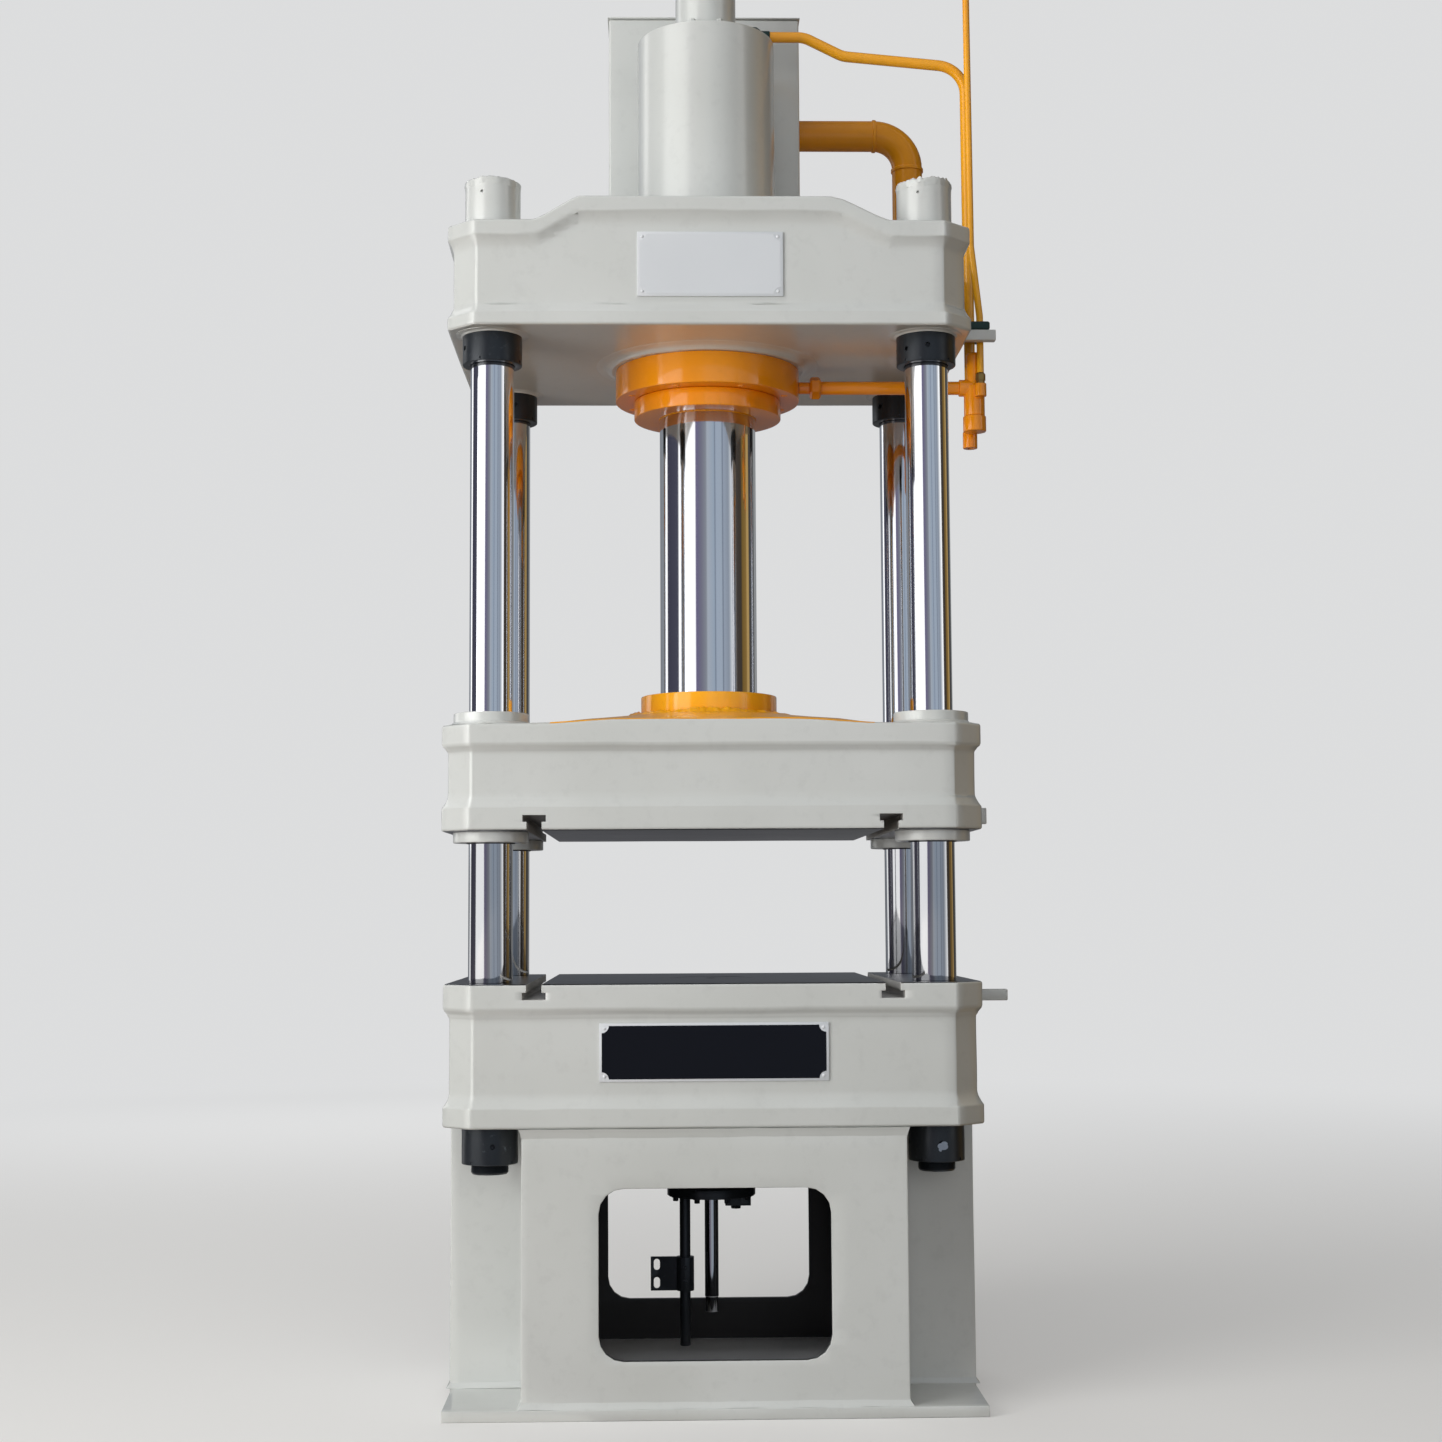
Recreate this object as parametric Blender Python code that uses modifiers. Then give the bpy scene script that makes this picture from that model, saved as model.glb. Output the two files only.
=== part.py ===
"""Four-column hydraulic press, modelled in metres, +Z up.

The origin lies on the ram axis, at the underside of the base plate. The front
faces -Y. Every casting, column, nut and pipe is its own object. The crosshead
and its ram slide along Z, and so does the ejector under the table.
"""

import math

import bmesh
import bpy
from mathutils import Vector

# Running gap between pieces that touch or slide, the weld distance of meshes, the
# overrun of cuts and the chamfer of turned pieces
GAP = 0.0003
WELD = 0.00005
OVERRUN = 0.010
CHAMFER = 0.002

# Facets round a full turn
BIG_TURN = 32
TURN = 18
SMALL_TURN = 12
HOLE_TURN = 8
CORNER_STEPS = 4
PIPE_SIDES = 2
WIDE_PIPE_SIDES = 3
SMOOTH_ANGLE = math.radians(35)

# Plan of the three castings, from the table's width and depth
BED_WIDTH = 1.000
SLIDE_LIP = 0.004
CROWN_INSET = 0.002
SLIDE_WIDTH = BED_WIDTH + 2 * SLIDE_LIP
CROWN_WIDTH = BED_WIDTH - 2 * CROWN_INSET
CASTING_DEPTH = 0.680
CORNER_X = 0.053
CORNER_Y = 0.050
BAND_RECESS = 0.0115
EDGE_ROUND = 0.003
EDGE_SEGMENTS = 1

# Heights of the castings, from the base plate upwards
TABLE_HEIGHT = 0.780
BED_HEIGHT = 0.262
DAYLIGHT = 0.281
SLIDE_HEIGHT = 0.198
CLEAR_HEIGHT = 1.229
CROWN_HEIGHT = 0.202
BED_FLANGE = 0.048
BED_FOOT = 0.036
SLIDE_FLANGE = 0.039
SLIDE_FOOT = 0.043
CROWN_FLANGE = 0.030
CROWN_FOOT = 0.024
LOWER_BLEND = 0.018
BED_BLEND = 0.012
SLIDE_BLEND = 0.008
CROWN_BLEND = 0.018

# Columns, from the castings' edges inwards
COLUMN_EDGE_X = 0.085
COLUMN_EDGE_Y = 0.090
COLUMN_PITCH_X = BED_WIDTH - 2 * COLUMN_EDGE_X
COLUMN_PITCH_Y = CASTING_DEPTH - 2 * COLUMN_EDGE_Y

# Raised middle of the crown, between the columns
HUMP_RISE = 0.0455
HUMP_TO_COLUMN = 0.074
HUMP_SLOPE = 0.091
HUMP_FOOT_HALF = COLUMN_PITCH_X / 2 - HUMP_TO_COLUMN
HUMP_TOP_HALF = HUMP_FOOT_HALF - HUMP_SLOPE

PEDESTAL_TOP = TABLE_HEIGHT - BED_HEIGHT
SLIDE_BOTTOM = TABLE_HEIGHT + DAYLIGHT
SLIDE_TOP = SLIDE_BOTTOM + SLIDE_HEIGHT
CROWN_BOTTOM = TABLE_HEIGHT + CLEAR_HEIGHT
CROWN_TOP = CROWN_BOTTOM + CROWN_HEIGHT
HUMP_TOP = CROWN_TOP + HUMP_RISE

# Travel of the crosshead from its place at rest
SLIDE_DOWN = 0.150
SLIDE_UP = 0.450

# Pedestal weldment, set in from the table and stepped in round the columns
BASE_INSET = 0.006
BASE_LIP = 0.005
BASE_WIDTH = BED_WIDTH - 2 * BASE_INSET
BASE_DEPTH = CASTING_DEPTH + 2 * BASE_LIP
BASE_THICK = 0.020
WALL_THICK = 0.016
FRONT_SETBACK = 0.005
SIDE_SETBACK = 0.003
STEP_TO_COLUMN_X = 0.063
STEP_TO_COLUMN_Y = 0.105
FRONT_HALF = COLUMN_PITCH_X / 2 - STEP_TO_COLUMN_X
SIDE_HALF = BED_WIDTH / 2 - SIDE_SETBACK
SIDE_DEPTH_HALF = COLUMN_PITCH_Y / 2 - STEP_TO_COLUMN_Y
WINDOW_MARGIN = 0.141
WINDOW_SILL = 0.102
WINDOW_HEAD = 0.108
WINDOW_WIDTH = 2 * (FRONT_HALF - WINDOW_MARGIN)
WINDOW_HEIGHT = PEDESTAL_TOP - WINDOW_SILL - WINDOW_HEAD
WINDOW_ROUND = 0.045

# Clamping slots of the table and the crosshead
SLOT_TO_COLUMN = 0.086
SLOT_OFFSET = COLUMN_PITCH_X / 2 - SLOT_TO_COLUMN
SLOT_NECK = 0.028
SLOT_HEAD = 0.043
SLOT_LIP = 0.0155
SLOT_HEAD_HEIGHT = 0.013

# Columns and their nuts
COLUMN_R = 0.0415
LOWER_THREAD_R = 0.038
UPPER_THREAD_R = 0.040
COLUMN_END_R = 0.035
COLUMN_END = 0.019
COLUMN_SINK = 0.004
BED_NUT_R = 0.052
BED_NUT_HEIGHT = 0.069
CROWN_NUT_R = 0.0565
CROWN_NUT_HEIGHT = 0.059
TOP_NUT_R = 0.0527
TOP_NUT_HEIGHT = 0.090
SPANNER_HOLE_R = 0.005
SPANNER_HOLE_DEPTH = 0.009
SPANNER_HOLES = 4
BED_NUT_SHARES = {"front_left": 0.11, "front_right": 0.04, "back_left": 0.27, "back_right": 0.62}
CROWN_NUT_SHARES = {"front_left": 0.29, "front_right": 0.97, "back_left": 0.15, "back_right": 0.44}

# Guides of the crosshead
BUSH_R = 0.055
COLLAR_R = 0.0705
COLLAR_HEIGHT = 0.024
BUSH_FLANGE = 0.020

# Boss that carries the ram, on top of the crosshead
BOSS_FOOT_R = 0.300
BOSS_SHOULDER_R = 0.160
BOSS_SHOULDER = 0.034
BOSS_TOP_R = 0.126
BOSS_HEIGHT = 0.0373

# Ram, its foot ring and the piston
RAM_R = 0.0965
RAM_FOOT_R = 0.108
RAM_FOOT_HEIGHT = 0.018
RAM_NECK_R = 0.070
RING_R = 0.1355
RING_HEIGHT = 0.041
PISTON_HEIGHT = 0.060
PISTON_MARGIN = 0.008

# Cylinder, clamped in the crown
CROWN_BOSS_R = 0.194
CROWN_BOSS_HEIGHT = 0.010
CYLINDER_R = 0.1395
BORE_R = 0.110
CYLINDER_FLANGE_R = 0.1855
CYLINDER_FLANGE = 0.062
CYLINDER_HEAD = 0.045
CEILING_MARGIN = 0.0118
FILL_PORT_R = 0.030
GLAND_R = 0.148
GLAND_HEIGHT = 0.036
GLAND_SPIGOT = 0.020
LOCK_NUT_R = 0.180
LOCK_NUT_HEIGHT = 0.045

FLANGE_TOP = CROWN_BOTTOM - CROWN_BOSS_HEIGHT - GAP
FLANGE_BOTTOM = FLANGE_TOP - CYLINDER_FLANGE
PISTON_BOTTOM = FLANGE_BOTTOM + GLAND_SPIGOT + SLIDE_DOWN + PISTON_MARGIN
CYLINDER_CEILING = PISTON_BOTTOM + PISTON_HEIGHT + SLIDE_UP + CEILING_MARGIN
CYLINDER_TOP = CYLINDER_CEILING + CYLINDER_HEAD
BOSS_TOP = SLIDE_TOP + BOSS_HEIGHT

# Filling tank behind the cylinder, and the valve between them
TANK_WIDTH = 0.408
TANK_DEPTH = 0.240
TANK_TOP = 0.5615
TANK_STANDOFF = 0.010
SHEET = 0.004
LID_THICK = 0.003
LID_LIP = 0.002
TANK_HOLE_R = 0.038
VALVE_FLANGE_R = 0.082
VALVE_FLANGE = 0.022
VALVE_R = 0.0615
VALVE_HEIGHT = 0.165
VALVE_CAP_R = 0.046
VALVE_CAP_HEIGHT = 0.040
VALVE_INLET_R = 0.040
VALVE_INLET_RISE = 0.068
VALVE_INLET_FLANGE_R = 0.058
VALVE_INLET_FLANGE = 0.012

TANK_FRONT = LOCK_NUT_R + TANK_STANDOFF
TANK_BOTTOM = HUMP_TOP + GAP
LID_BOTTOM = HUMP_TOP + TANK_TOP

# Return pipe from the tank's side, down behind the crown
RETURN_R = 0.0335
RETURN_WALL = 0.004
RETURN_BACK = 0.0145
RETURN_BEND = 0.075
RETURN_RISE = 0.3745
RETURN_OUT = 0.251
RETURN_FLANGE_R = 0.048
RETURN_FLANGE = 0.014
RETURN_SEAM_R = 0.036
RETURN_SEAM = 0.008

# Pressure pipe from the cylinder's head, down the right side of the crown
PIPE_R = 0.011
PIPE_BACK = 0.045
PIPE_STANDOFF = 0.041
PIPE_RISE = 0.038
PIPE_DIP = 0.064
PIPE_DIP_START = 0.215
PIPE_DIP_END = 0.290
PIPE_DIP_SHARE = 0.62
PIPE_BEND = 0.060
PIPE_TAIL = 0.122
FITTING_R = 0.017
FITTING_HEIGHT = 0.055
FITTING_X = 0.100
FITTING_SPIGOT = 0.014
PIPE_BORE_R = 0.0055
PIPE_NUT_R = 0.0148
PIPE_NUT_HEIGHT = 0.034

# Pilot pipe from the filling valve, down in front of the pressure pipe
PILOT_R = 0.007
PILOT_FRONT = 0.027
PILOT_TOP_LEAN = -0.002
PILOT_FOOT_LEAN = 0.013
PILOT_BEND = 0.050
PILOT_DROP = 0.020
PILOT_NUT_R = 0.010
PILOT_NUT_HEIGHT = 0.022

# Pipe and valve on the rod side of the cylinder
ROD_PIPE_R = 0.0135
UNION_R = 0.023
UNION_LENGTH = 0.022
UNION_NECK_R = 0.012
UNION_NECK = 0.022
UNION_SIDES = 6
CHECK_R = 0.021
CHECK_TOP_R = 0.0155
CHECK_HEIGHT = 0.130
CHECK_TOP_HEIGHT = 0.069
CHECK_LUG_R = 0.0115
CHECK_LUG_HEIGHT = 0.026
CHECK_DROP = 0.058
CHECK_BRANCH_R = 0.017
CHECK_BRANCH = 0.010
CHECK_CAP_R = 0.0232
CHECK_CAP_HEIGHT = 0.032
CHECK_STANDOFF = 0.0445

# Bars for the limit switches, and the block that clamps the pipes
BAR_THICK = 0.022
BAR_DEPTH = 0.020
BAR_FRONT = 0.050
BAR_REACH = 0.0815
BAR_ROUND = 0.003
CROWN_BAR_RISE = 0.043
BED_BAR_DROP = 0.0237
STRIKER_REACH = 0.042
STRIKER_HEIGHT = 0.032
STRIKER_DEPTH = 0.012
STRIKER_RISE = 0.019
CLAMP_HEIGHT = 0.017
CLAMP_WALL = 0.009

# Bare plates on the front
PLATE_THICK = 0.003
BED_PLATE_WIDTH = 0.420
BED_PLATE_HEIGHT = 0.106
BED_PLATE_DROP = 0.125
CROWN_PLATE_WIDTH = 0.275
CROWN_PLATE_HEIGHT = 0.124
CROWN_PLATE_RISE = 0.118

# Ejector under the table
PAD_R = 0.084
PAD_HEIGHT = 0.025
EJECTOR_R = 0.070
EJECTOR_BORE_R = 0.050
EJECTOR_HEAD = 0.030
EJECTOR_TOP_CLEARANCE = 0.010
EJECTOR_FLANGE_R = 0.100
EJECTOR_FLANGE = 0.022
EJECTOR_HANG = 0.143
EJECTOR_COVER_R = 0.0865
EJECTOR_COVER = 0.018
EJECTOR_RAM_R = 0.028
EJECTOR_PISTON_HEIGHT = 0.035
EJECTOR_PISTON_LIFT = 0.012
TAIL_ROD_R = 0.0135
TAIL_ROD_FLOOR = 0.112
PORT_WIDTH = 0.050
PORT_DEPTH = 0.036
PORT_HEIGHT = 0.020
PORT_X = 0.052
LIMIT_ROD_R = 0.0105
LIMIT_ROD_X = 0.052
LIMIT_ROD_FLOOR = 0.047
BRACKET_SHARE = 0.41
BRACKET_HEIGHT = 0.065
BRACKET_REACH = 0.050
BRACKET_THICK = 0.006
BRACKET_BOSS_R = 0.0175
BRACKET_SLOT_WIDTH = 0.012
BRACKET_SLOT_HEIGHT = 0.022
BRACKET_SLOT_PITCH = 0.035

EJECTOR_TOP = TABLE_HEIGHT - PAD_HEIGHT - EJECTOR_TOP_CLEARANCE
EJECTOR_BOTTOM = PEDESTAL_TOP - EJECTOR_HANG
COVER_BOTTOM = EJECTOR_BOTTOM - EJECTOR_COVER

# Colour, roughness and metallic value of each finish
FINISHES = {
    "casting_paint": ((0.66, 0.67, 0.64), 0.32, 0.0),
    "orange_paint": ((0.87, 0.31, 0.01), 0.30, 0.0),
    "chrome": ((0.80, 0.80, 0.82), 0.06, 1.0),
    "machined_steel": ((0.45, 0.45, 0.45), 0.35, 1.0),
    "black_steel": ((0.02, 0.02, 0.022), 0.38, 0.6),
    "bronze": ((0.62, 0.38, 0.16), 0.35, 1.0),
    "green_steel": ((0.02, 0.05, 0.045), 0.45, 0.3),
    "silver_plate": ((0.75, 0.76, 0.78), 0.30, 0.8),
    "dark_plate": ((0.012, 0.014, 0.03), 0.25, 0.0),
}


def clear_scene():
    for leftover in list(bpy.data.objects):
        bpy.data.objects.remove(leftover, do_unlink=True)


def new_collection(name):
    collection = bpy.data.collections.new(name)
    bpy.context.scene.collection.children.link(collection)
    return collection


def new_material(name):
    """A Principled BSDF with the finish's colour, roughness and metallic value."""
    color, roughness, metallic = FINISHES[name]
    material = bpy.data.materials.new(name)
    material.use_nodes = True
    shader = material.node_tree.nodes["Principled BSDF"]
    shader.inputs["Base Color"].default_value = (*color, 1.0)
    shader.inputs["Roughness"].default_value = roughness
    shader.inputs["Metallic"].default_value = metallic
    return material


clear_scene()
PARTS = new_collection("hydraulic_press")
CUTTERS = new_collection("cutters")
MATERIALS = {name: new_material(name) for name in FINISHES}


def add_object(name, data, finish, at=(0, 0, 0), parent=None):
    """Link an object to the press, or to the cutters if it has no finish."""
    obj = bpy.data.objects.new(name, data)
    if finish:
        PARTS.objects.link(obj)
        data.materials.clear()
        data.materials.append(MATERIALS[finish])
    else:
        CUTTERS.objects.link(obj)
        obj.hide_render = True
        obj.display_type = "WIRE"
    place(obj, at, parent)
    return obj


def place(obj, at, parent=None):
    """Put an object at a point of the press, whatever empty it hangs from."""
    obj.parent = parent
    obj.location = Vector(at) - (parent.location if parent else Vector())


def add_empty(name, at):
    empty = bpy.data.objects.new(name, None)
    PARTS.objects.link(empty)
    empty.location = at
    return empty


def baked_mesh(obj):
    """The object's mesh after its modifiers, welded and shaded smooth up to sharp edges."""
    bpy.context.view_layer.update()
    evaluated = obj.evaluated_get(bpy.context.evaluated_depsgraph_get())
    mesh = bpy.data.meshes.new_from_object(evaluated)
    work = bmesh.new()
    work.from_mesh(mesh)
    bmesh.ops.remove_doubles(work, verts=work.verts, dist=WELD)
    work.to_mesh(mesh)
    work.free()
    mesh.shade_smooth()
    mesh.set_sharp_from_angle(angle=SMOOTH_ANGLE)
    return mesh


def bake(obj):
    """Replace a curve or a modified object by its finished mesh, in the same place."""
    mesh = baked_mesh(obj)
    finish = obj.data.materials[0].name if obj.data.materials else None
    name, at, turn, parent = obj.name, obj.location.copy(), obj.rotation_euler.copy(), obj.parent
    bpy.data.objects.remove(obj, do_unlink=True)
    solid = add_object(name, mesh, finish)
    solid.parent = parent
    solid.location = at
    solid.rotation_euler = turn
    return solid


def turned(name, profile, finish, facets=TURN, at=(0, 0, 0), parent=None):
    """A turned piece: (radius, height) points, down the outer side, spun about Z.

    A profile that stays clear of the axis is closed into a ring.
    """
    count = len(profile)
    edges = [(i, i + 1) for i in range(count - 1)]
    if profile[0][0] > 0:
        edges.append((count - 1, 0))
    mesh = bpy.data.meshes.new(name)
    mesh.from_pydata([(radius, 0, height) for radius, height in profile], edges, [])
    obj = add_object(name, mesh, finish, at, parent)
    screw = obj.modifiers.new("Turn", "SCREW")
    screw.steps = facets
    screw.render_steps = facets
    screw.use_merge_vertices = True
    screw.merge_threshold = WELD
    return bake(obj)


def ring_profile(outer, inner, bottom, top, chamfer=0.0):
    """A plain ring with its two outer edges chamfered."""
    if not chamfer:
        return [(outer, top), (outer, bottom), (inner, bottom), (inner, top)]
    return [
        (outer - chamfer, top),
        (outer, top - chamfer),
        (outer, bottom + chamfer),
        (outer - chamfer, bottom),
        (inner, bottom),
        (inner, top),
    ]


def rod_profile(radius, bottom, top):
    return [(0, top), (radius, top), (radius, bottom), (0, bottom)]


def block(name, low, high, finish, round_width=0.0, parent=None):
    """A box between two corners, with its edges rounded by a Bevel modifier."""
    low, high = Vector(low), Vector(high)
    size = high - low
    middle = (low + high) / 2
    mesh = bpy.data.meshes.new(name)
    work = bmesh.new()
    bmesh.ops.create_cube(work, size=1)
    bmesh.ops.scale(work, verts=work.verts, vec=size)
    work.to_mesh(mesh)
    work.free()
    obj = add_object(name, mesh, finish, middle, parent)
    if round_width:
        round_edges(obj, round_width)
    return obj


def round_edges(obj, width):
    bevel = obj.modifiers.new("Edge", "BEVEL")
    bevel.width = width
    bevel.segments = EDGE_SEGMENTS
    bevel.limit_method = "ANGLE"
    bevel.angle_limit = SMOOTH_ANGLE


def cut(obj, cutter, operation="DIFFERENCE"):
    modifier = obj.modifiers.new(cutter.name, "BOOLEAN")
    modifier.operation = operation
    modifier.solver = "EXACT"
    modifier.object = cutter


def outline_solid(name, outlines, thickness, finish, at=(0, 0, 0), upright=False, parent=None):
    """A flat outline, with any inner outlines as holes, given its thickness about its plane."""
    curve = bpy.data.curves.new(name, "CURVE")
    curve.dimensions = "2D"
    curve.fill_mode = "BOTH"
    curve.extrude = thickness / 2
    curve.render_resolution_u = 0
    for points in outlines:
        spline = curve.splines.new("POLY")
        spline.points.add(len(points) - 1)
        for point, (u, v) in zip(spline.points, points):
            point.co = (u, v, 0, 1)
        spline.use_cyclic_u = True
    obj = add_object(name, curve, finish, at, parent)
    if upright:
        obj.rotation_euler = (math.pi / 2, 0, 0)
    return bake(obj)


def arc(center, radius, start, stop, steps):
    """Points round an arc, angles in degrees."""
    points = []
    for i in range(steps + 1):
        angle = math.radians(start + (stop - start) * i / steps)
        points.append((center[0] + radius * math.cos(angle), center[1] + radius * math.sin(angle)))
    return points


def rounded_rectangle(width, height, radius):
    x, y = width / 2 - radius, height / 2 - radius
    corners = (((x, -y), -90), ((x, y), 0), ((-x, y), 90), ((-x, -y), 180))
    points = []
    for center, start in corners:
        points += arc(center, radius, start, start + 90, CORNER_STEPS)
    return points


def bent_route(corners, radius):
    """A pipe's centre line: straight runs with an arc of the bend radius at each corner."""
    route = [Vector(corners[0])]
    for before, corner, after in zip(corners, corners[1:], corners[2:]):
        corner = Vector(corner)
        back = (Vector(before) - corner).normalized()
        ahead = (Vector(after) - corner).normalized()
        half = back.angle(ahead) / 2
        center = corner + (back + ahead).normalized() * (radius / math.sin(half))
        arm = corner + back * (radius / math.tan(half)) - center
        for i in range(CORNER_STEPS + 1):
            angle = (math.pi - 2 * half) * i / CORNER_STEPS
            route.append(center + arm * math.cos(angle) - back * (radius * math.sin(angle)))
    route.append(Vector(corners[-1]))
    return route


def pipe(name, route, radius, finish, sides=PIPE_SIDES):
    """A round bar along a route, as a bevelled curve with filled caps."""
    curve = bpy.data.curves.new(name, "CURVE")
    curve.dimensions = "3D"
    curve.bevel_depth = radius
    curve.bevel_resolution = sides
    curve.use_fill_caps = True
    curve.render_resolution_u = 0
    spline = curve.splines.new("POLY")
    spline.points.add(len(route) - 1)
    for point, co in zip(spline.points, route):
        point.co = (*co, 1)
    return add_object(name, curve, finish)


def column_places():
    """The four column axes, by the corner that each stands in."""
    x, y = COLUMN_PITCH_X / 2, COLUMN_PITCH_Y / 2
    return {
        "front_left": (-x, -y, 0),
        "front_right": (x, -y, 0),
        "back_left": (-x, y, 0),
        "back_right": (x, y, 0),
    }


def hump_rise(x):
    """Height of the crown's raised middle at one place across its width."""
    share = (HUMP_FOOT_HALF - abs(x)) / HUMP_SLOPE
    return HUMP_RISE * min(max(share, 0.0), 1.0)


def casting_ring(width, inset, height, stations, rise):
    """One level of a casting: its outline with cut corners, drawn in by an inset."""
    corner = math.hypot(CORNER_X, CORNER_Y)
    half_width = width / 2 - inset
    half_depth = CASTING_DEPTH / 2 - inset
    flat_x = width / 2 - CORNER_X - inset * (corner - CORNER_X) / CORNER_Y
    flat_y = CASTING_DEPTH / 2 - CORNER_Y - inset * (corner - CORNER_Y) / CORNER_X
    across = [-flat_x, *stations, flat_x]
    front = [(x, -half_depth) for x in across]
    right = [(half_width, -flat_y), (half_width, flat_y)]
    back = [(x, half_depth) for x in reversed(across)]
    left = [(-half_width, flat_y), (-half_width, -flat_y)]
    return [(x, y, height + rise(x)) for x, y in front + right + back + left]


def casting(name, width, levels, finish, stations=(), parent=None, at=(0, 0, 0)):
    """A casting lofted through its levels, each (height, inset, rise along the width)."""
    mesh = bpy.data.meshes.new(name)
    work = bmesh.new()
    rings = []
    for height, inset, rise in levels:
        ring = casting_ring(width, inset, height - at[2], stations, rise)
        rings.append([work.verts.new(point) for point in ring])
    count = len(rings[0])
    for lower, upper in zip(rings, rings[1:]):
        for i in range(count):
            j = (i + 1) % count
            work.faces.new((lower[i], lower[j], upper[j], upper[i]))
    for ring, upward in ((rings[0], False), (rings[-1], True)):
        for i in range(-1, count // 2 - 2):
            strip = [ring[i], ring[i + 1], ring[count - 4 - i], ring[count - 3 - i]]
            work.faces.new(strip if upward else strip[::-1])
    work.to_mesh(mesh)
    work.free()
    obj = add_object(name, mesh, finish, at, parent)
    round_edges(obj, EDGE_ROUND)
    return obj


def level(_x):
    return 0.0


def casting_levels(bottom, top, foot, flange, blend, rise=level):
    """Foot flange, recessed band and top flange of a casting, with sloped blends between them."""
    return [
        (bottom, 0, level),
        (bottom + foot, 0, level),
        (bottom + foot + LOWER_BLEND, BAND_RECESS, level),
        (top - flange - blend, BAND_RECESS, rise),
        (top - flange, 0, rise),
        (top, 0, rise),
    ]


def slot_cutter(name, face, inward):
    """The two clamping slots of a face; inward is -1 below the face and +1 above it."""
    neck, head = SLOT_NECK / 2, SLOT_HEAD / 2
    outside = face - inward * OVERRUN
    lip = face + inward * SLOT_LIP
    floor = face + inward * (SLOT_LIP + SLOT_HEAD_HEIGHT)
    cutters = []
    for side, sign in (("left", -1), ("right", 1)):
        x = sign * SLOT_OFFSET
        points = [
            (x - neck, outside),
            (x + neck, outside),
            (x + neck, lip),
            (x + head, lip),
            (x + head, floor),
            (x - head, floor),
            (x - head, lip),
            (x - neck, lip),
        ]
        depth = CASTING_DEPTH + 2 * OVERRUN
        cutters.append(outline_solid(f"{name}_{side}", [points], depth, None, upright=True))
    return cutters


def round_cutter(name, radius, bottom, top, at=(0, 0, 0), facets=TURN):
    return turned(name, rod_profile(radius, bottom, top), None, facets, at)


def bore_for_columns(obj, name, radius, bottom, top):
    for corner, at in column_places().items():
        cut(obj, round_cutter(f"{name}_{corner}", radius, bottom - OVERRUN, top + OVERRUN, at))


def wall_outline(inset):
    """Plan of the pedestal's walls: a box whose four corners step in round the column nuts."""
    a, b = FRONT_HALF - inset, CASTING_DEPTH / 2 - FRONT_SETBACK - inset
    c, d = SIDE_HALF - inset, SIDE_DEPTH_HALF - inset
    quarter = [(a, -b), (a, -d), (c, -d)]
    right = quarter + [(x, -y) for x, y in reversed(quarter)]
    return right + [(-x, -y) for x, y in right]


def build_pedestal():
    height = PEDESTAL_TOP - GAP - BASE_THICK / 2
    walls = [wall_outline(0), wall_outline(WALL_THICK)]
    middle = BASE_THICK / 2 + height / 2
    pedestal = outline_solid("pedestal", walls, height, "casting_paint", (0, 0, middle))
    base = block(
        "base_plate_form",
        (-BASE_WIDTH / 2, -BASE_DEPTH / 2, 0),
        (BASE_WIDTH / 2, BASE_DEPTH / 2, BASE_THICK),
        None,
    )
    cut(pedestal, base, "UNION")
    window = rounded_rectangle(WINDOW_WIDTH, WINDOW_HEIGHT, WINDOW_ROUND)
    center = (0, 0, WINDOW_SILL + WINDOW_HEIGHT / 2)
    depth = CASTING_DEPTH + 2 * OVERRUN
    cut(pedestal, outline_solid("window_cut", [window], depth, None, center, upright=True))


def build_bed():
    levels = casting_levels(PEDESTAL_TOP, TABLE_HEIGHT, BED_FOOT, BED_FLANGE, BED_BLEND)
    bed = casting("bed", BED_WIDTH, levels, "casting_paint")
    bore_for_columns(bed, "bed_bore", LOWER_THREAD_R + GAP, PEDESTAL_TOP, TABLE_HEIGHT)
    for cutter in slot_cutter("table_slot", TABLE_HEIGHT, -1):
        cut(bed, cutter)
    seat = TABLE_HEIGHT - PAD_HEIGHT - GAP
    well = [
        (0, TABLE_HEIGHT + OVERRUN),
        (PAD_R + GAP, TABLE_HEIGHT + OVERRUN),
        (PAD_R + GAP, seat),
        (EJECTOR_R + GAP, seat),
        (EJECTOR_R + GAP, PEDESTAL_TOP - OVERRUN),
        (0, PEDESTAL_TOP - OVERRUN),
    ]
    cut(bed, turned("ejector_well", well, None, TURN))


def build_crown():
    stations = [-HUMP_FOOT_HALF, -HUMP_TOP_HALF, HUMP_TOP_HALF, HUMP_FOOT_HALF]
    levels = casting_levels(CROWN_BOTTOM, CROWN_TOP, CROWN_FOOT, CROWN_FLANGE, CROWN_BLEND, hump_rise)
    crown = casting("crown", CROWN_WIDTH, levels, "casting_paint", stations)
    boss = [
        (0, CROWN_BOTTOM + OVERRUN),
        (CROWN_BOSS_R + OVERRUN, CROWN_BOTTOM + OVERRUN),
        (CROWN_BOSS_R, CROWN_BOTTOM - CROWN_BOSS_HEIGHT),
        (0, CROWN_BOTTOM - CROWN_BOSS_HEIGHT),
    ]
    cut(crown, turned("crown_boss_form", boss, None, BIG_TURN), "UNION")
    low = CROWN_BOTTOM - CROWN_BOSS_HEIGHT - OVERRUN
    cut(crown, round_cutter("cylinder_seat", CYLINDER_R + GAP, low, HUMP_TOP + OVERRUN, facets=BIG_TURN))
    bore_for_columns(crown, "crown_bore", UPPER_THREAD_R + GAP, CROWN_BOTTOM, CROWN_TOP)


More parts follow.
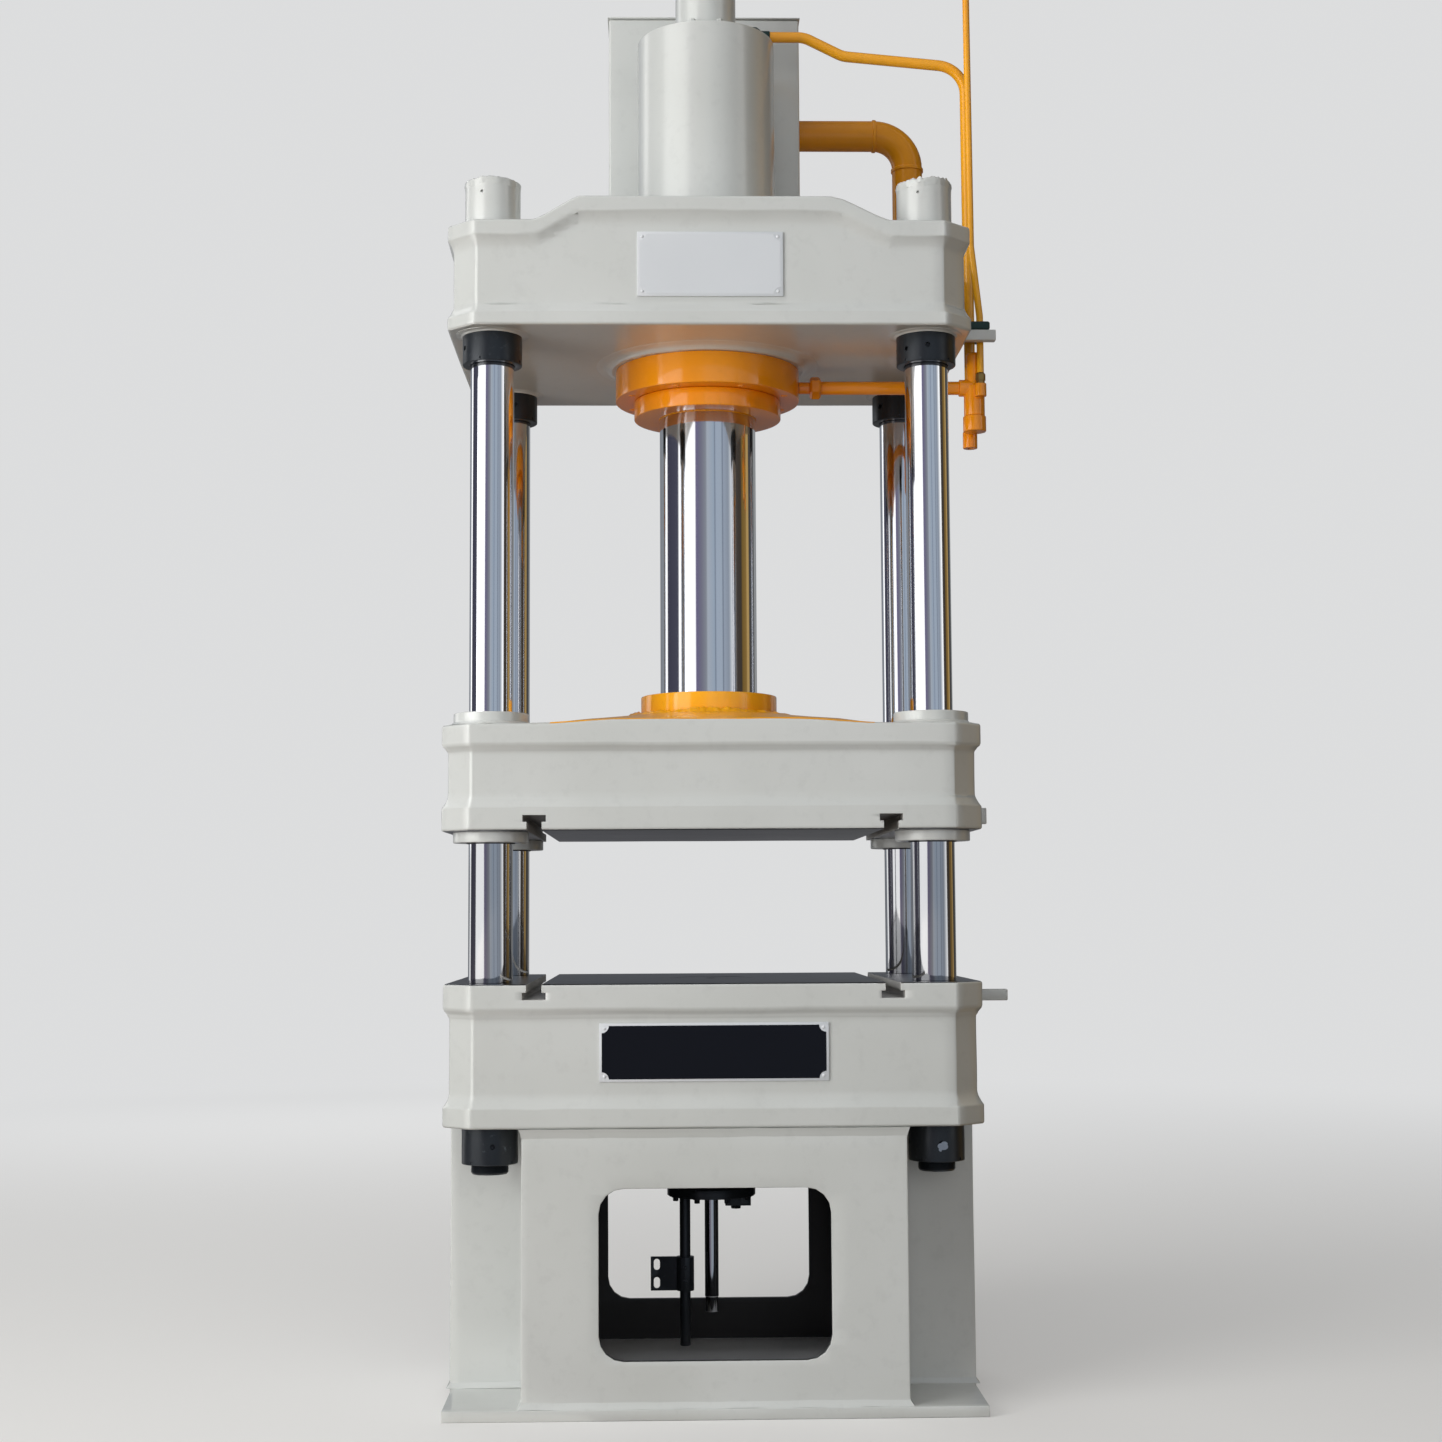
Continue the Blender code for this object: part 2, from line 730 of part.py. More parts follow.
def build_columns():
    """Each column stands with its shoulder on the table and is threaded at both ends."""
    nut_face = PEDESTAL_TOP - GAP - BED_NUT_HEIGHT
    foot = nut_face - COLUMN_END
    shoulder = TABLE_HEIGHT + GAP
    thread = CROWN_BOTTOM - GAP - CROWN_NUT_HEIGHT
    head = CROWN_TOP + GAP + TOP_NUT_HEIGHT - COLUMN_SINK
    profile = [
        (0, head),
        (UPPER_THREAD_R, head),
        (UPPER_THREAD_R, thread),
        (COLUMN_R, thread),
        (COLUMN_R, shoulder),
        (LOWER_THREAD_R, shoulder),
        (LOWER_THREAD_R, nut_face),
        (COLUMN_END_R, nut_face),
        (COLUMN_END_R, foot),
        (0, foot),
    ]
    for corner, at in column_places().items():
        turned(f"column_{corner}", profile, "chrome", TURN, at)


def round_nut(name, radius, inner, bottom, height, at, turn_share):
    """A black round nut; turn_share turns its spanner holes by a share of their spacing."""
    profile = ring_profile(radius, inner, bottom, bottom + height)
    nut = turned(name, profile, "black_steel", TURN, at)
    spacing = 2 * math.pi / SPANNER_HOLES
    for i in range(SPANNER_HOLES):
        angle = spacing * (i + turn_share)
        reach = radius - SPANNER_HOLE_DEPTH
        length = SPANNER_HOLE_DEPTH + OVERRUN
        profile = rod_profile(SPANNER_HOLE_R, reach, reach + length)
        hole = turned(f"{name}_hole_{i}", profile, None, HOLE_TURN)
        hole.rotation_euler = (0, math.pi / 2, angle)
        hole.location = (at[0], at[1], bottom + height / 2)
        cut(nut, hole)


def build_nuts():
    """Under the table, under the crown and on top of it, on every column."""
    lower = LOWER_THREAD_R + GAP
    upper = UPPER_THREAD_R + GAP
    bed_nut = PEDESTAL_TOP - GAP - BED_NUT_HEIGHT
    crown_nut = CROWN_BOTTOM - GAP - CROWN_NUT_HEIGHT
    top_nut = CROWN_TOP + GAP
    for corner, at in column_places().items():
        turn = BED_NUT_SHARES[corner]
        round_nut(f"bed_nut_{corner}", BED_NUT_R, lower, bed_nut, BED_NUT_HEIGHT, at, turn)
        turn = CROWN_NUT_SHARES[corner]
        round_nut(f"crown_nut_{corner}", CROWN_NUT_R, upper, crown_nut, CROWN_NUT_HEIGHT, at, turn)
        profile = ring_profile(TOP_NUT_R, upper, top_nut, top_nut + TOP_NUT_HEIGHT)
        turned(f"top_nut_{corner}", profile, "casting_paint", TURN, at)


def build_slide(axis):
    """The crosshead with the cone-shaped boss for the ram on its top."""
    base = (0, 0, SLIDE_BOTTOM)
    levels = casting_levels(SLIDE_BOTTOM, SLIDE_TOP, SLIDE_FOOT, SLIDE_FLANGE, SLIDE_BLEND)
    slide = casting("slide", SLIDE_WIDTH, levels, "casting_paint", parent=axis, at=base)
    boss = [
        (0, BOSS_TOP),
        (BOSS_TOP_R, BOSS_TOP),
        (BOSS_TOP_R, SLIDE_TOP + BOSS_SHOULDER),
        (BOSS_SHOULDER_R, SLIDE_TOP + BOSS_SHOULDER),
        (BOSS_FOOT_R, SLIDE_TOP),
        (BOSS_FOOT_R, SLIDE_TOP - OVERRUN),
        (0, SLIDE_TOP - OVERRUN),
    ]
    cut(slide, turned("slide_boss_form", boss, None, BIG_TURN), "UNION")
    bore_for_columns(slide, "slide_bore", BUSH_R + GAP, SLIDE_BOTTOM, SLIDE_TOP)
    for cutter in slot_cutter("slide_slot", SLIDE_BOTTOM, 1):
        cut(slide, cutter)


def build_guides(axis):
    """A flanged bush in each bore of the crosshead, and a wiper collar on top of it."""
    inner = COLUMN_R + GAP
    low = SLIDE_BOTTOM - GAP
    bush = [
        (BUSH_R, SLIDE_TOP),
        (BUSH_R, low),
        (COLLAR_R, low),
        (COLLAR_R, low - BUSH_FLANGE),
        (inner, low - BUSH_FLANGE),
        (inner, SLIDE_TOP),
    ]
    high = SLIDE_TOP + GAP
    collar = ring_profile(COLLAR_R, inner, high, high + COLLAR_HEIGHT)
    for corner, at in column_places().items():
        turned(f"guide_bush_{corner}", bush, "casting_paint", TURN, at, axis)
        turned(f"slide_collar_{corner}", collar, "casting_paint", TURN, at, axis)


def build_ram(axis):
    """The ram stands on the crosshead's boss, held at its foot by a ring, and carries the piston."""
    foot = BOSS_TOP + GAP
    shelf = foot + RAM_FOOT_HEIGHT
    piston_top = PISTON_BOTTOM + PISTON_HEIGHT
    ram = [
        (0, piston_top),
        (RAM_NECK_R, piston_top),
        (RAM_NECK_R, PISTON_BOTTOM - GAP),
        (RAM_R, PISTON_BOTTOM - GAP),
        (RAM_R, shelf),
        (RAM_FOOT_R, shelf),
        (RAM_FOOT_R, foot),
        (0, foot),
    ]
    turned("ram", ram, "chrome", BIG_TURN, parent=axis)
    seat = shelf + GAP
    ring = [
        (RING_R - CHAMFER, foot + RING_HEIGHT),
        (RING_R, foot + RING_HEIGHT - CHAMFER),
        (RING_R, foot),
        (RAM_FOOT_R + GAP, foot),
        (RAM_FOOT_R + GAP, seat),
        (RAM_R + GAP, seat),
        (RAM_R + GAP, foot + RING_HEIGHT),
    ]
    turned("ram_ring", ring, "orange_paint", BIG_TURN, parent=axis)
    piston = ring_profile(BORE_R - GAP, RAM_NECK_R + GAP, PISTON_BOTTOM, piston_top)
    turned("piston", piston, "machined_steel", BIG_TURN, parent=axis)


def build_cylinder():
    """The cylinder hangs by its flange under the crown, and a round nut locks it from above."""
    profile = [
        (FILL_PORT_R, CYLINDER_TOP),
        (CYLINDER_R - CHAMFER, CYLINDER_TOP),
        (CYLINDER_R, CYLINDER_TOP - CHAMFER),
        (CYLINDER_R, FLANGE_TOP),
        (CYLINDER_FLANGE_R, FLANGE_TOP),
        (CYLINDER_FLANGE_R, FLANGE_BOTTOM + CHAMFER),
        (CYLINDER_FLANGE_R - CHAMFER, FLANGE_BOTTOM),
        (BORE_R, FLANGE_BOTTOM),
        (BORE_R, CYLINDER_CEILING),
        (FILL_PORT_R, CYLINDER_CEILING),
    ]
    turned("cylinder", profile, "casting_paint", BIG_TURN)
    nut = HUMP_TOP + GAP
    turned(
        "cylinder_nut",
        ring_profile(LOCK_NUT_R, CYLINDER_R + GAP, nut, nut + LOCK_NUT_HEIGHT, CHAMFER),
        "casting_paint",
        BIG_TURN,
    )
    top = FLANGE_BOTTOM - GAP
    gland = [
        (BORE_R - GAP, top + GLAND_SPIGOT),
        (BORE_R - GAP, top),
        (GLAND_R, top),
        (GLAND_R, top - GLAND_HEIGHT + CHAMFER),
        (GLAND_R - CHAMFER, top - GLAND_HEIGHT),
        (RAM_R + GAP, top - GLAND_HEIGHT),
        (RAM_R + GAP, top + GLAND_SPIGOT),
    ]
    turned("gland", gland, "orange_paint", BIG_TURN)


def build_tank():
    """A folded tank behind the cylinder, open at the top under its lid."""
    back = TANK_FRONT + TANK_DEPTH
    lid_low = LID_BOTTOM + GAP
    low = (-TANK_WIDTH / 2, TANK_FRONT, TANK_BOTTOM)
    tank = block("oil_tank", low, (TANK_WIDTH / 2, back, LID_BOTTOM), "casting_paint")
    inside_low = (low[0] + SHEET, low[1] + SHEET, low[2] + SHEET)
    inside_high = (TANK_WIDTH / 2 - SHEET, back - SHEET, LID_BOTTOM + OVERRUN)
    cut(tank, block("tank_inside", inside_low, inside_high, None))
    outlet = round_cutter("tank_outlet", TANK_HOLE_R, -OVERRUN, SHEET + OVERRUN)
    outlet.rotation_euler = (-math.pi / 2, 0, 0)
    outlet.location = (0, TANK_FRONT, CYLINDER_TOP + VALVE_INLET_RISE)
    cut(tank, outlet)
    block(
        "tank_lid",
        (-TANK_WIDTH / 2 - LID_LIP, TANK_FRONT - LID_LIP, lid_low),
        (TANK_WIDTH / 2 + LID_LIP, back + LID_LIP, lid_low + LID_THICK),
        "casting_paint",
    )


def build_filling_valve():
    """The valve on the cylinder's head, fed from the tank through a flanged inlet."""
    base = CYLINDER_TOP + GAP
    neck = base + VALVE_HEIGHT
    profile = [
        (0, neck + VALVE_CAP_HEIGHT),
        (VALVE_CAP_R, neck + VALVE_CAP_HEIGHT),
        (VALVE_CAP_R, neck),
        (VALVE_R, neck),
        (VALVE_R, base + VALVE_FLANGE),
        (VALVE_FLANGE_R, base + VALVE_FLANGE),
        (VALVE_FLANGE_R, base),
        (0, base),
    ]
    valve = turned("filling_valve", profile, "casting_paint", TURN)
    reach = TANK_FRONT - GAP
    inlet = [
        (0, reach),
        (VALVE_INLET_FLANGE_R, reach),
        (VALVE_INLET_FLANGE_R, reach - VALVE_INLET_FLANGE),
        (VALVE_INLET_R, reach - VALVE_INLET_FLANGE),
        (VALVE_INLET_R, 0),
        (0, 0),
    ]
    form = turned("valve_inlet_form", inlet, None, TURN)
    form.rotation_euler = (-math.pi / 2, 0, 0)
    form.location = (0, 0, CYLINDER_TOP + VALVE_INLET_RISE)
    cut(valve, form, "UNION")


def build_return_pipe():
    """A wide pipe out of the tank's side, over the crown's back and down to a flange."""
    start = TANK_WIDTH / 2 + GAP
    y = CASTING_DEPTH / 2 + RETURN_BACK + RETURN_R
    x = TANK_WIDTH / 2 + RETURN_OUT
    z = HUMP_TOP + RETURN_RISE
    end = CROWN_BOTTOM + CROWN_HEIGHT / 2
    route = bent_route([(start, y, z), (x, y, z), (x, y, end)], RETURN_BEND)
    body = bake(pipe("return_pipe", route, RETURN_R, "orange_paint", WIDE_PIPE_SIDES))
    flange = rod_profile(RETURN_FLANGE_R, end, end + RETURN_FLANGE)
    cut(body, turned("return_flange_form", flange, None, TURN, (x, y, 0)), "UNION")
    top_seam = z - RETURN_BEND
    seam = rod_profile(RETURN_SEAM_R, top_seam - RETURN_SEAM, top_seam)
    cut(body, turned("return_seam_form", seam, None, TURN, (x, y, 0)), "UNION")


def pipe_run_x():
    return CROWN_WIDTH / 2 + PIPE_STANDOFF


def crown_bar_bottom():
    return CROWN_BOTTOM + CROWN_BAR_RISE


def clamp_bottom():
    return crown_bar_bottom() + BAR_THICK + GAP


def build_pressure_pipe():
    """A banjo fitting on the cylinder's head, the bent pipe and the open nut at its foot."""
    base = CYLINDER_TOP + GAP
    z = CYLINDER_TOP + PIPE_RISE
    fitting = turned(
        "pressure_fitting",
        rod_profile(FITTING_R, base, base + FITTING_HEIGHT),
        "green_steel",
        SMALL_TURN,
        (FITTING_X, PIPE_BACK, 0),
    )
    spigot = turned("fitting_spigot_form", rod_profile(FITTING_SPIGOT, 0, FITTING_R * 2), None, SMALL_TURN)
    spigot.rotation_euler = (0, math.pi / 2, 0)
    spigot.location = (FITTING_X, PIPE_BACK, z)
    cut(fitting, spigot, "UNION")
    foot = CROWN_BOTTOM - PIPE_TAIL
    run = pipe_run_x()
    corners = [
        (FITTING_X + 2 * FITTING_R + GAP, PIPE_BACK, z),
        (PIPE_DIP_START, PIPE_BACK, z),
        (PIPE_DIP_END, PIPE_BACK, z - PIPE_DIP * PIPE_DIP_SHARE),
        (run, PIPE_BACK, z - PIPE_DIP),
        (run, PIPE_BACK, foot),
    ]
    pipe("pressure_pipe", bent_route(corners, PIPE_BEND), PIPE_R, "orange_paint")
    top = foot - GAP
    turned(
        "pressure_pipe_nut",
        ring_profile(PIPE_NUT_R, PIPE_BORE_R, top - PIPE_NUT_HEIGHT, top, CHAMFER),
        "orange_paint",
        SMALL_TURN,
        (run, PIPE_BACK, 0),
    )


def build_pilot_pipe():
    """A thin pipe from the filling valve's cap to the nut on the check valve."""
    y = -PILOT_FRONT
    high = CYLINDER_TOP + GAP + VALVE_HEIGHT + VALVE_CAP_HEIGHT - PILOT_DROP
    run = pipe_run_x()
    foot = check_shoulder() + GAP + PILOT_NUT_HEIGHT + GAP
    corners = [
        (VALVE_CAP_R + GAP, 0, high),
        (run + PILOT_TOP_LEAN, 0, high),
        (run + PILOT_TOP_LEAN, y, CROWN_TOP + HUMP_RISE),
        (run + PILOT_FOOT_LEAN, y, CROWN_BOTTOM + CROWN_HEIGHT / 2),
        (run + PILOT_FOOT_LEAN, y, foot),
    ]
    pipe("pilot_pipe", bent_route(corners, PILOT_BEND), PILOT_R, "orange_paint")
    nut = rod_profile(PILOT_NUT_R, foot - GAP - PILOT_NUT_HEIGHT, foot - GAP)
    turned("pilot_nut", nut, "bronze", SMALL_TURN, (run + PILOT_FOOT_LEAN, y, 0))


def rod_pipe_height():
    return (FLANGE_TOP + FLANGE_BOTTOM) / 2


def check_x():
    return CROWN_WIDTH / 2 + CHECK_STANDOFF


def check_bottom():
    return rod_pipe_height() - CHECK_DROP


def check_shoulder():
    return check_bottom() + CHECK_HEIGHT - CHECK_TOP_HEIGHT


def lying(obj, x, z):
    """Turn a piece made about Z so that it lies along +X, starting at a point on the ram's plane."""
    obj.rotation_euler = (0, math.pi / 2, 0)
    obj.location = (x, 0, z)
    return obj


def build_rod_side_pipe():
    """From the cylinder's flange, through a union, to the check valve beside the crown."""
    z = rod_pipe_height()
    start = CYLINDER_FLANGE_R + GAP
    profile = rod_profile(UNION_R, UNION_NECK, UNION_NECK + UNION_LENGTH)
    union = turned("rod_side_union", profile, "orange_paint", UNION_SIDES)
    lying(union, start, z)
    neck = turned("union_neck_form", rod_profile(UNION_NECK_R, 0, UNION_NECK + WELD), None, SMALL_TURN)
    cut(union, lying(neck, start, z), "UNION")
    low = start + UNION_NECK + UNION_LENGTH + GAP
    high = check_x() - CHECK_R - CHECK_BRANCH - GAP
    rod_pipe = turned("rod_side_pipe", rod_profile(ROD_PIPE_R, 0, high - low), "orange_paint", SMALL_TURN)
    lying(rod_pipe, low, z)


def build_check_valve():
    """A stepped body with a branch for the rod-side pipe and a lug for the pilot pipe's nut."""
    x = check_x()
    bottom = check_bottom()
    shoulder = check_shoulder()
    profile = [
        (0, bottom + CHECK_HEIGHT),
        (CHECK_TOP_R, bottom + CHECK_HEIGHT),
        (CHECK_TOP_R, shoulder),
        (CHECK_R, shoulder),
        (CHECK_R, bottom),
        (0, bottom),
    ]
    body = turned("check_valve", profile, "orange_paint", SMALL_TURN, (x, 0, 0))
    profile = rod_profile(CHECK_BRANCH_R, 0, CHECK_R + CHECK_BRANCH)
    branch = turned("check_branch_form", profile, None, SMALL_TURN)
    cut(body, lying(branch, x - CHECK_R - CHECK_BRANCH, rod_pipe_height()), "UNION")
    at = (pipe_run_x() + PILOT_FOOT_LEAN, -PILOT_FRONT, 0)
    profile = rod_profile(CHECK_LUG_R, shoulder - CHECK_LUG_HEIGHT, shoulder)
    cut(body, turned("check_lug_form", profile, None, SMALL_TURN, at), "UNION")
    cap_top = bottom - GAP
    cap = rod_profile(CHECK_CAP_R, cap_top - CHECK_CAP_HEIGHT, cap_top)
    turned("check_valve_cap", cap, "orange_paint", SMALL_TURN, (x, 0, 0))


def side_bar(name, x, bottom, size, finish, parent=None):
    """A bar that stands out from a casting's right side; size is (reach, depth, height)."""
    reach, depth, height = size
    low = (x + GAP, -BAR_FRONT - depth / 2, bottom)
    high = (x + GAP + reach, -BAR_FRONT + depth / 2, bottom + height)
    return block(name, low, high, finish, BAR_ROUND, parent)


def build_limit_bars(axis):
    """Bars on the crown and the bed for a switch rod, and the striker on the crosshead."""
    crown_face = CROWN_WIDTH / 2 - BAND_RECESS
    size = (BAR_REACH + BAND_RECESS, BAR_DEPTH, BAR_THICK)
    side_bar("crown_limit_bar", crown_face, crown_bar_bottom(), size, "casting_paint")
    size = (BAR_REACH, BAR_DEPTH, BAR_THICK)
    bottom = TABLE_HEIGHT - BED_BAR_DROP - BAR_THICK
    side_bar("bed_limit_bar", BED_WIDTH / 2, bottom, size, "casting_paint")
    size = (STRIKER_REACH, STRIKER_DEPTH, STRIKER_HEIGHT)
    bottom = SLIDE_BOTTOM + STRIKER_RISE
    side_bar("slide_striker", SLIDE_WIDTH / 2, bottom, size, "casting_paint", axis)


def build_pipe_clamp():
    """A block on the crown's bar with a hole for each pipe."""
    run = pipe_run_x()
    low = (run - PIPE_R - CLAMP_WALL, -BAR_FRONT - BAR_DEPTH / 2, clamp_bottom())
    high = (
        run + PILOT_FOOT_LEAN + PILOT_R + CLAMP_WALL,
        PIPE_BACK + PIPE_R + CLAMP_WALL,
        clamp_bottom() + CLAMP_HEIGHT,
    )
    clamp = block("pipe_clamp", low, high, "green_steel", BAR_ROUND)
    bottom, top = clamp_bottom() - OVERRUN, clamp_bottom() + CLAMP_HEIGHT + OVERRUN
    cut(clamp, round_cutter("clamp_hole_wide", PIPE_R + GAP, bottom, top, (run, PIPE_BACK, 0)))
    at = (run + PILOT_FOOT_LEAN, -PILOT_FRONT, 0)
    cut(clamp, round_cutter("clamp_hole_thin", PILOT_R + GAP, bottom, top, at))


def front_plate(name, width, height, middle, finish):
    """A bare plate on a casting's recessed band."""
    face = -(CASTING_DEPTH / 2 - BAND_RECESS) - GAP
    low = (-width / 2, face - PLATE_THICK, middle - height / 2)
    block(name, low, (width / 2, face, middle + height / 2), finish)


def build_plates():
    front_plate("bed_plate", BED_PLATE_WIDTH, BED_PLATE_HEIGHT, TABLE_HEIGHT - BED_PLATE_DROP, "dark_plate")
    middle = CROWN_BOTTOM + CROWN_PLATE_RISE
    front_plate("crown_plate", CROWN_PLATE_WIDTH, CROWN_PLATE_HEIGHT, middle, "silver_plate")


def build_ejector_body():
    """The ejector's cylinder hangs in the table's well, closed below by a cover."""
    flange_top = PEDESTAL_TOP - GAP
    ceiling = EJECTOR_TOP - EJECTOR_HEAD
    rod_hole = EJECTOR_RAM_R + GAP
    profile = [
        (EJECTOR_R, EJECTOR_TOP),
        (EJECTOR_R, flange_top),
        (EJECTOR_FLANGE_R, flange_top),
        (EJECTOR_FLANGE_R, flange_top - EJECTOR_FLANGE),
        (EJECTOR_R, flange_top - EJECTOR_FLANGE),
        (EJECTOR_R, EJECTOR_BOTTOM),
        (EJECTOR_BORE_R, EJECTOR_BOTTOM),
        (EJECTOR_BORE_R, ceiling),
        (rod_hole, ceiling),
        (rod_hole, EJECTOR_TOP),
    ]
    turned("ejector_cylinder", profile, "black_steel", TURN)
    top = EJECTOR_BOTTOM - GAP
    cover_profile = ring_profile(EJECTOR_COVER_R, TAIL_ROD_R + GAP, COVER_BOTTOM, top)
    cover = turned("ejector_cover", cover_profile, "black_steel", TURN)
    low = (PORT_X - PORT_WIDTH / 2, -PORT_DEPTH / 2, COVER_BOTTOM - PORT_HEIGHT)
    high = (PORT_X + PORT_WIDTH / 2, PORT_DEPTH / 2, COVER_BOTTOM + EJECTOR_COVER / 2)
    cut(cover, block("port_form", low, high, None), "UNION")


def build_ejector_ram(axis):
    """Rod, piston and tail rod in one, with the pad that lies flush in the table."""
    pad_bottom = TABLE_HEIGHT - PAD_HEIGHT
    piston_low = EJECTOR_BOTTOM + EJECTOR_PISTON_LIFT
    piston_high = piston_low + EJECTOR_PISTON_HEIGHT
    profile = [
        (0, pad_bottom - GAP),
        (EJECTOR_RAM_R, pad_bottom - GAP),
        (EJECTOR_RAM_R, piston_high),
        (EJECTOR_BORE_R - GAP, piston_high),
        (EJECTOR_BORE_R - GAP, piston_low),
        (TAIL_ROD_R, piston_low),
        (TAIL_ROD_R, BASE_THICK + TAIL_ROD_FLOOR),
        (0, BASE_THICK + TAIL_ROD_FLOOR),
    ]
    turned("ejector_ram", profile, "chrome", TURN, parent=axis)
    pad = [
        (0, TABLE_HEIGHT - GAP),
        (PAD_R - CHAMFER, TABLE_HEIGHT - GAP),
        (PAD_R, TABLE_HEIGHT - GAP - CHAMFER),
        (PAD_R, pad_bottom),
        (0, pad_bottom),
    ]
    turned("ejector_pad", pad, "machined_steel", TURN, parent=axis)


def build_limit_rod():
    """A fixed rod beside the tail rod, with the slotted plate for its switch clamped on."""
    top = COVER_BOTTOM - GAP
    foot = BASE_THICK + LIMIT_ROD_FLOOR
    at = (-LIMIT_ROD_X, 0, 0)
    turned("ejector_limit_rod", rod_profile(LIMIT_ROD_R, foot, top), "black_steel", SMALL_TURN, at)
    high = top - BRACKET_SHARE * (top - foot)
    low = high - BRACKET_HEIGHT
    bracket = turned(
        "ejector_limit_bracket",
        ring_profile(BRACKET_BOSS_R, LIMIT_ROD_R + GAP, low, high),
        "black_steel",
        SMALL_TURN,
        at,
    )
    inner = -LIMIT_ROD_X - (BRACKET_BOSS_R + LIMIT_ROD_R) / 2
    outer = -LIMIT_ROD_X - BRACKET_BOSS_R - BRACKET_REACH
    plate_low = (outer, -BRACKET_THICK / 2, low)
    plate_high = (inner, BRACKET_THICK / 2, high)
    cut(bracket, block("bracket_plate_form", plate_low, plate_high, None), "UNION")
    slot = rounded_rectangle(BRACKET_SLOT_WIDTH, BRACKET_SLOT_HEIGHT, BRACKET_SLOT_WIDTH / 2 - WELD)
    for i, sign in enumerate((-1, 1)):
        z = (low + high) / 2 + sign * BRACKET_SLOT_PITCH / 2
        center = (outer + BRACKET_SLOT_WIDTH, 0, z)
        depth = BRACKET_THICK + 2 * OVERRUN
        cut(bracket, outline_solid(f"bracket_slot_{i}", [slot], depth, None, center, upright=True))


def build_press():
    slide_axis = add_empty("slide_axis", (0, 0, SLIDE_BOTTOM))
    ejector_axis = add_empty("ejector_axis", (0, 0, EJECTOR_BOTTOM))
    build_pedestal()
    build_bed()
    build_crown()
    build_columns()
    build_nuts()
    build_slide(slide_axis)
    build_guides(slide_axis)
    build_ram(slide_axis)
    build_cylinder()
    build_tank()
    build_filling_valve()
    build_return_pipe()
    build_pressure_pipe()
    build_pilot_pipe()
    build_rod_side_pipe()
    build_check_valve()
    build_limit_bars(slide_axis)
    build_pipe_clamp()
    build_plates()
    build_ejector_body()
    build_ejector_ram(ejector_axis)
    build_limit_rod()


build_press()
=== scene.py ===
"""Looks of the four-column hydraulic press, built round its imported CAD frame."""

import math

import bmesh
import bpy
from mathutils import Matrix, Vector, noise


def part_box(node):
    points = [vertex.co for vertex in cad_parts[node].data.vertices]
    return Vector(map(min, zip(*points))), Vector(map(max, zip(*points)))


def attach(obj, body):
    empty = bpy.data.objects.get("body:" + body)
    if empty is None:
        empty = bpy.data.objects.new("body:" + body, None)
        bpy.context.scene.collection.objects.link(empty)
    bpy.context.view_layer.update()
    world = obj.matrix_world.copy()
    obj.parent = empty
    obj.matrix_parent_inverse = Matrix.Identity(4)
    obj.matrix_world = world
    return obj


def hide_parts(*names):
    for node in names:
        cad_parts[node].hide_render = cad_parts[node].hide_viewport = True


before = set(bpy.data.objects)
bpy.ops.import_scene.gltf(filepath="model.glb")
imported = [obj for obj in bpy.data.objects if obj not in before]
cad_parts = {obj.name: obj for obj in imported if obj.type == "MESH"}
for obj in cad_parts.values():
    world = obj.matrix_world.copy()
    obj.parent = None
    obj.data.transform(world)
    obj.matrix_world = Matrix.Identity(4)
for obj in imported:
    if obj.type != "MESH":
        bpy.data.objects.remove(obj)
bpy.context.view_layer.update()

# Heights and radii shared with the CAD frame
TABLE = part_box("bed")[1].z
PEDESTAL_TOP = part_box("bed")[0].z
SLIDE_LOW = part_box("slide")[0].z
SLIDE_TOP = 1.259
CROWN_LOW = 2.009
CROWN_TOP = 2.211
HUMP_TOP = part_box("crown")[1].z
CYLINDER_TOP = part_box("cylinder")[1].z
COLUMN_R = 0.0415
CORNERS = {
    "front_left": (-0.415, -0.25),
    "front_right": (0.415, -0.25),
    "back_left": (-0.415, 0.25),
    "back_right": (0.415, 0.25),
}


# ---- materials


class Tree:
    """Short hands for a node tree."""

    def __init__(self, tree):
        self.tree = tree

    def add(self, kind, inputs=(), **values):
        """A node with its settings; each input is a value or another node's output."""
        made = self.tree.nodes.new(kind)
        for key, value in values.items():
            setattr(made, key, value)
        for socket, value in dict(inputs).items():
            if hasattr(value, "is_output"):
                self.tree.links.new(value, made.inputs[socket])
            else:
                made.inputs[socket].default_value = value
        return made

    def math(self, operation, a, b=0.0):
        return self.add("ShaderNodeMath", {0: a, 1: b}, operation=operation).outputs[0]

    def xyz(self, vector):
        return self.add("ShaderNodeSeparateXYZ", {0: vector}).outputs

    def spread(self, value, start, stop, low=0.0, high=1.0, **values):
        """A value from start to stop, mapped from low to high."""
        inputs = {"Value": value, "From Min": start, "From Max": stop, "To Min": low, "To Max": high}
        return self.add("ShaderNodeMapRange", inputs, **values).outputs["Result"]

    def ramp(self, value, stops):
        """Colours or greys by value: (position, colour) stops."""
        made = self.add("ShaderNodeValToRGB", {"Fac": value})
        elements = made.color_ramp.elements
        while len(elements) < len(stops):
            elements.new(0.5)
        for element, (position, color) in zip(elements, stops):
            element.position = position
            element.color = (*color, 1) if isinstance(color, tuple) else (color, color, color, 1)
        return made.outputs["Color"]

    def mixed(self, factor, a, b):
        return self.add("ShaderNodeMixShader", {0: factor, 1: a, 2: b}).outputs[0]


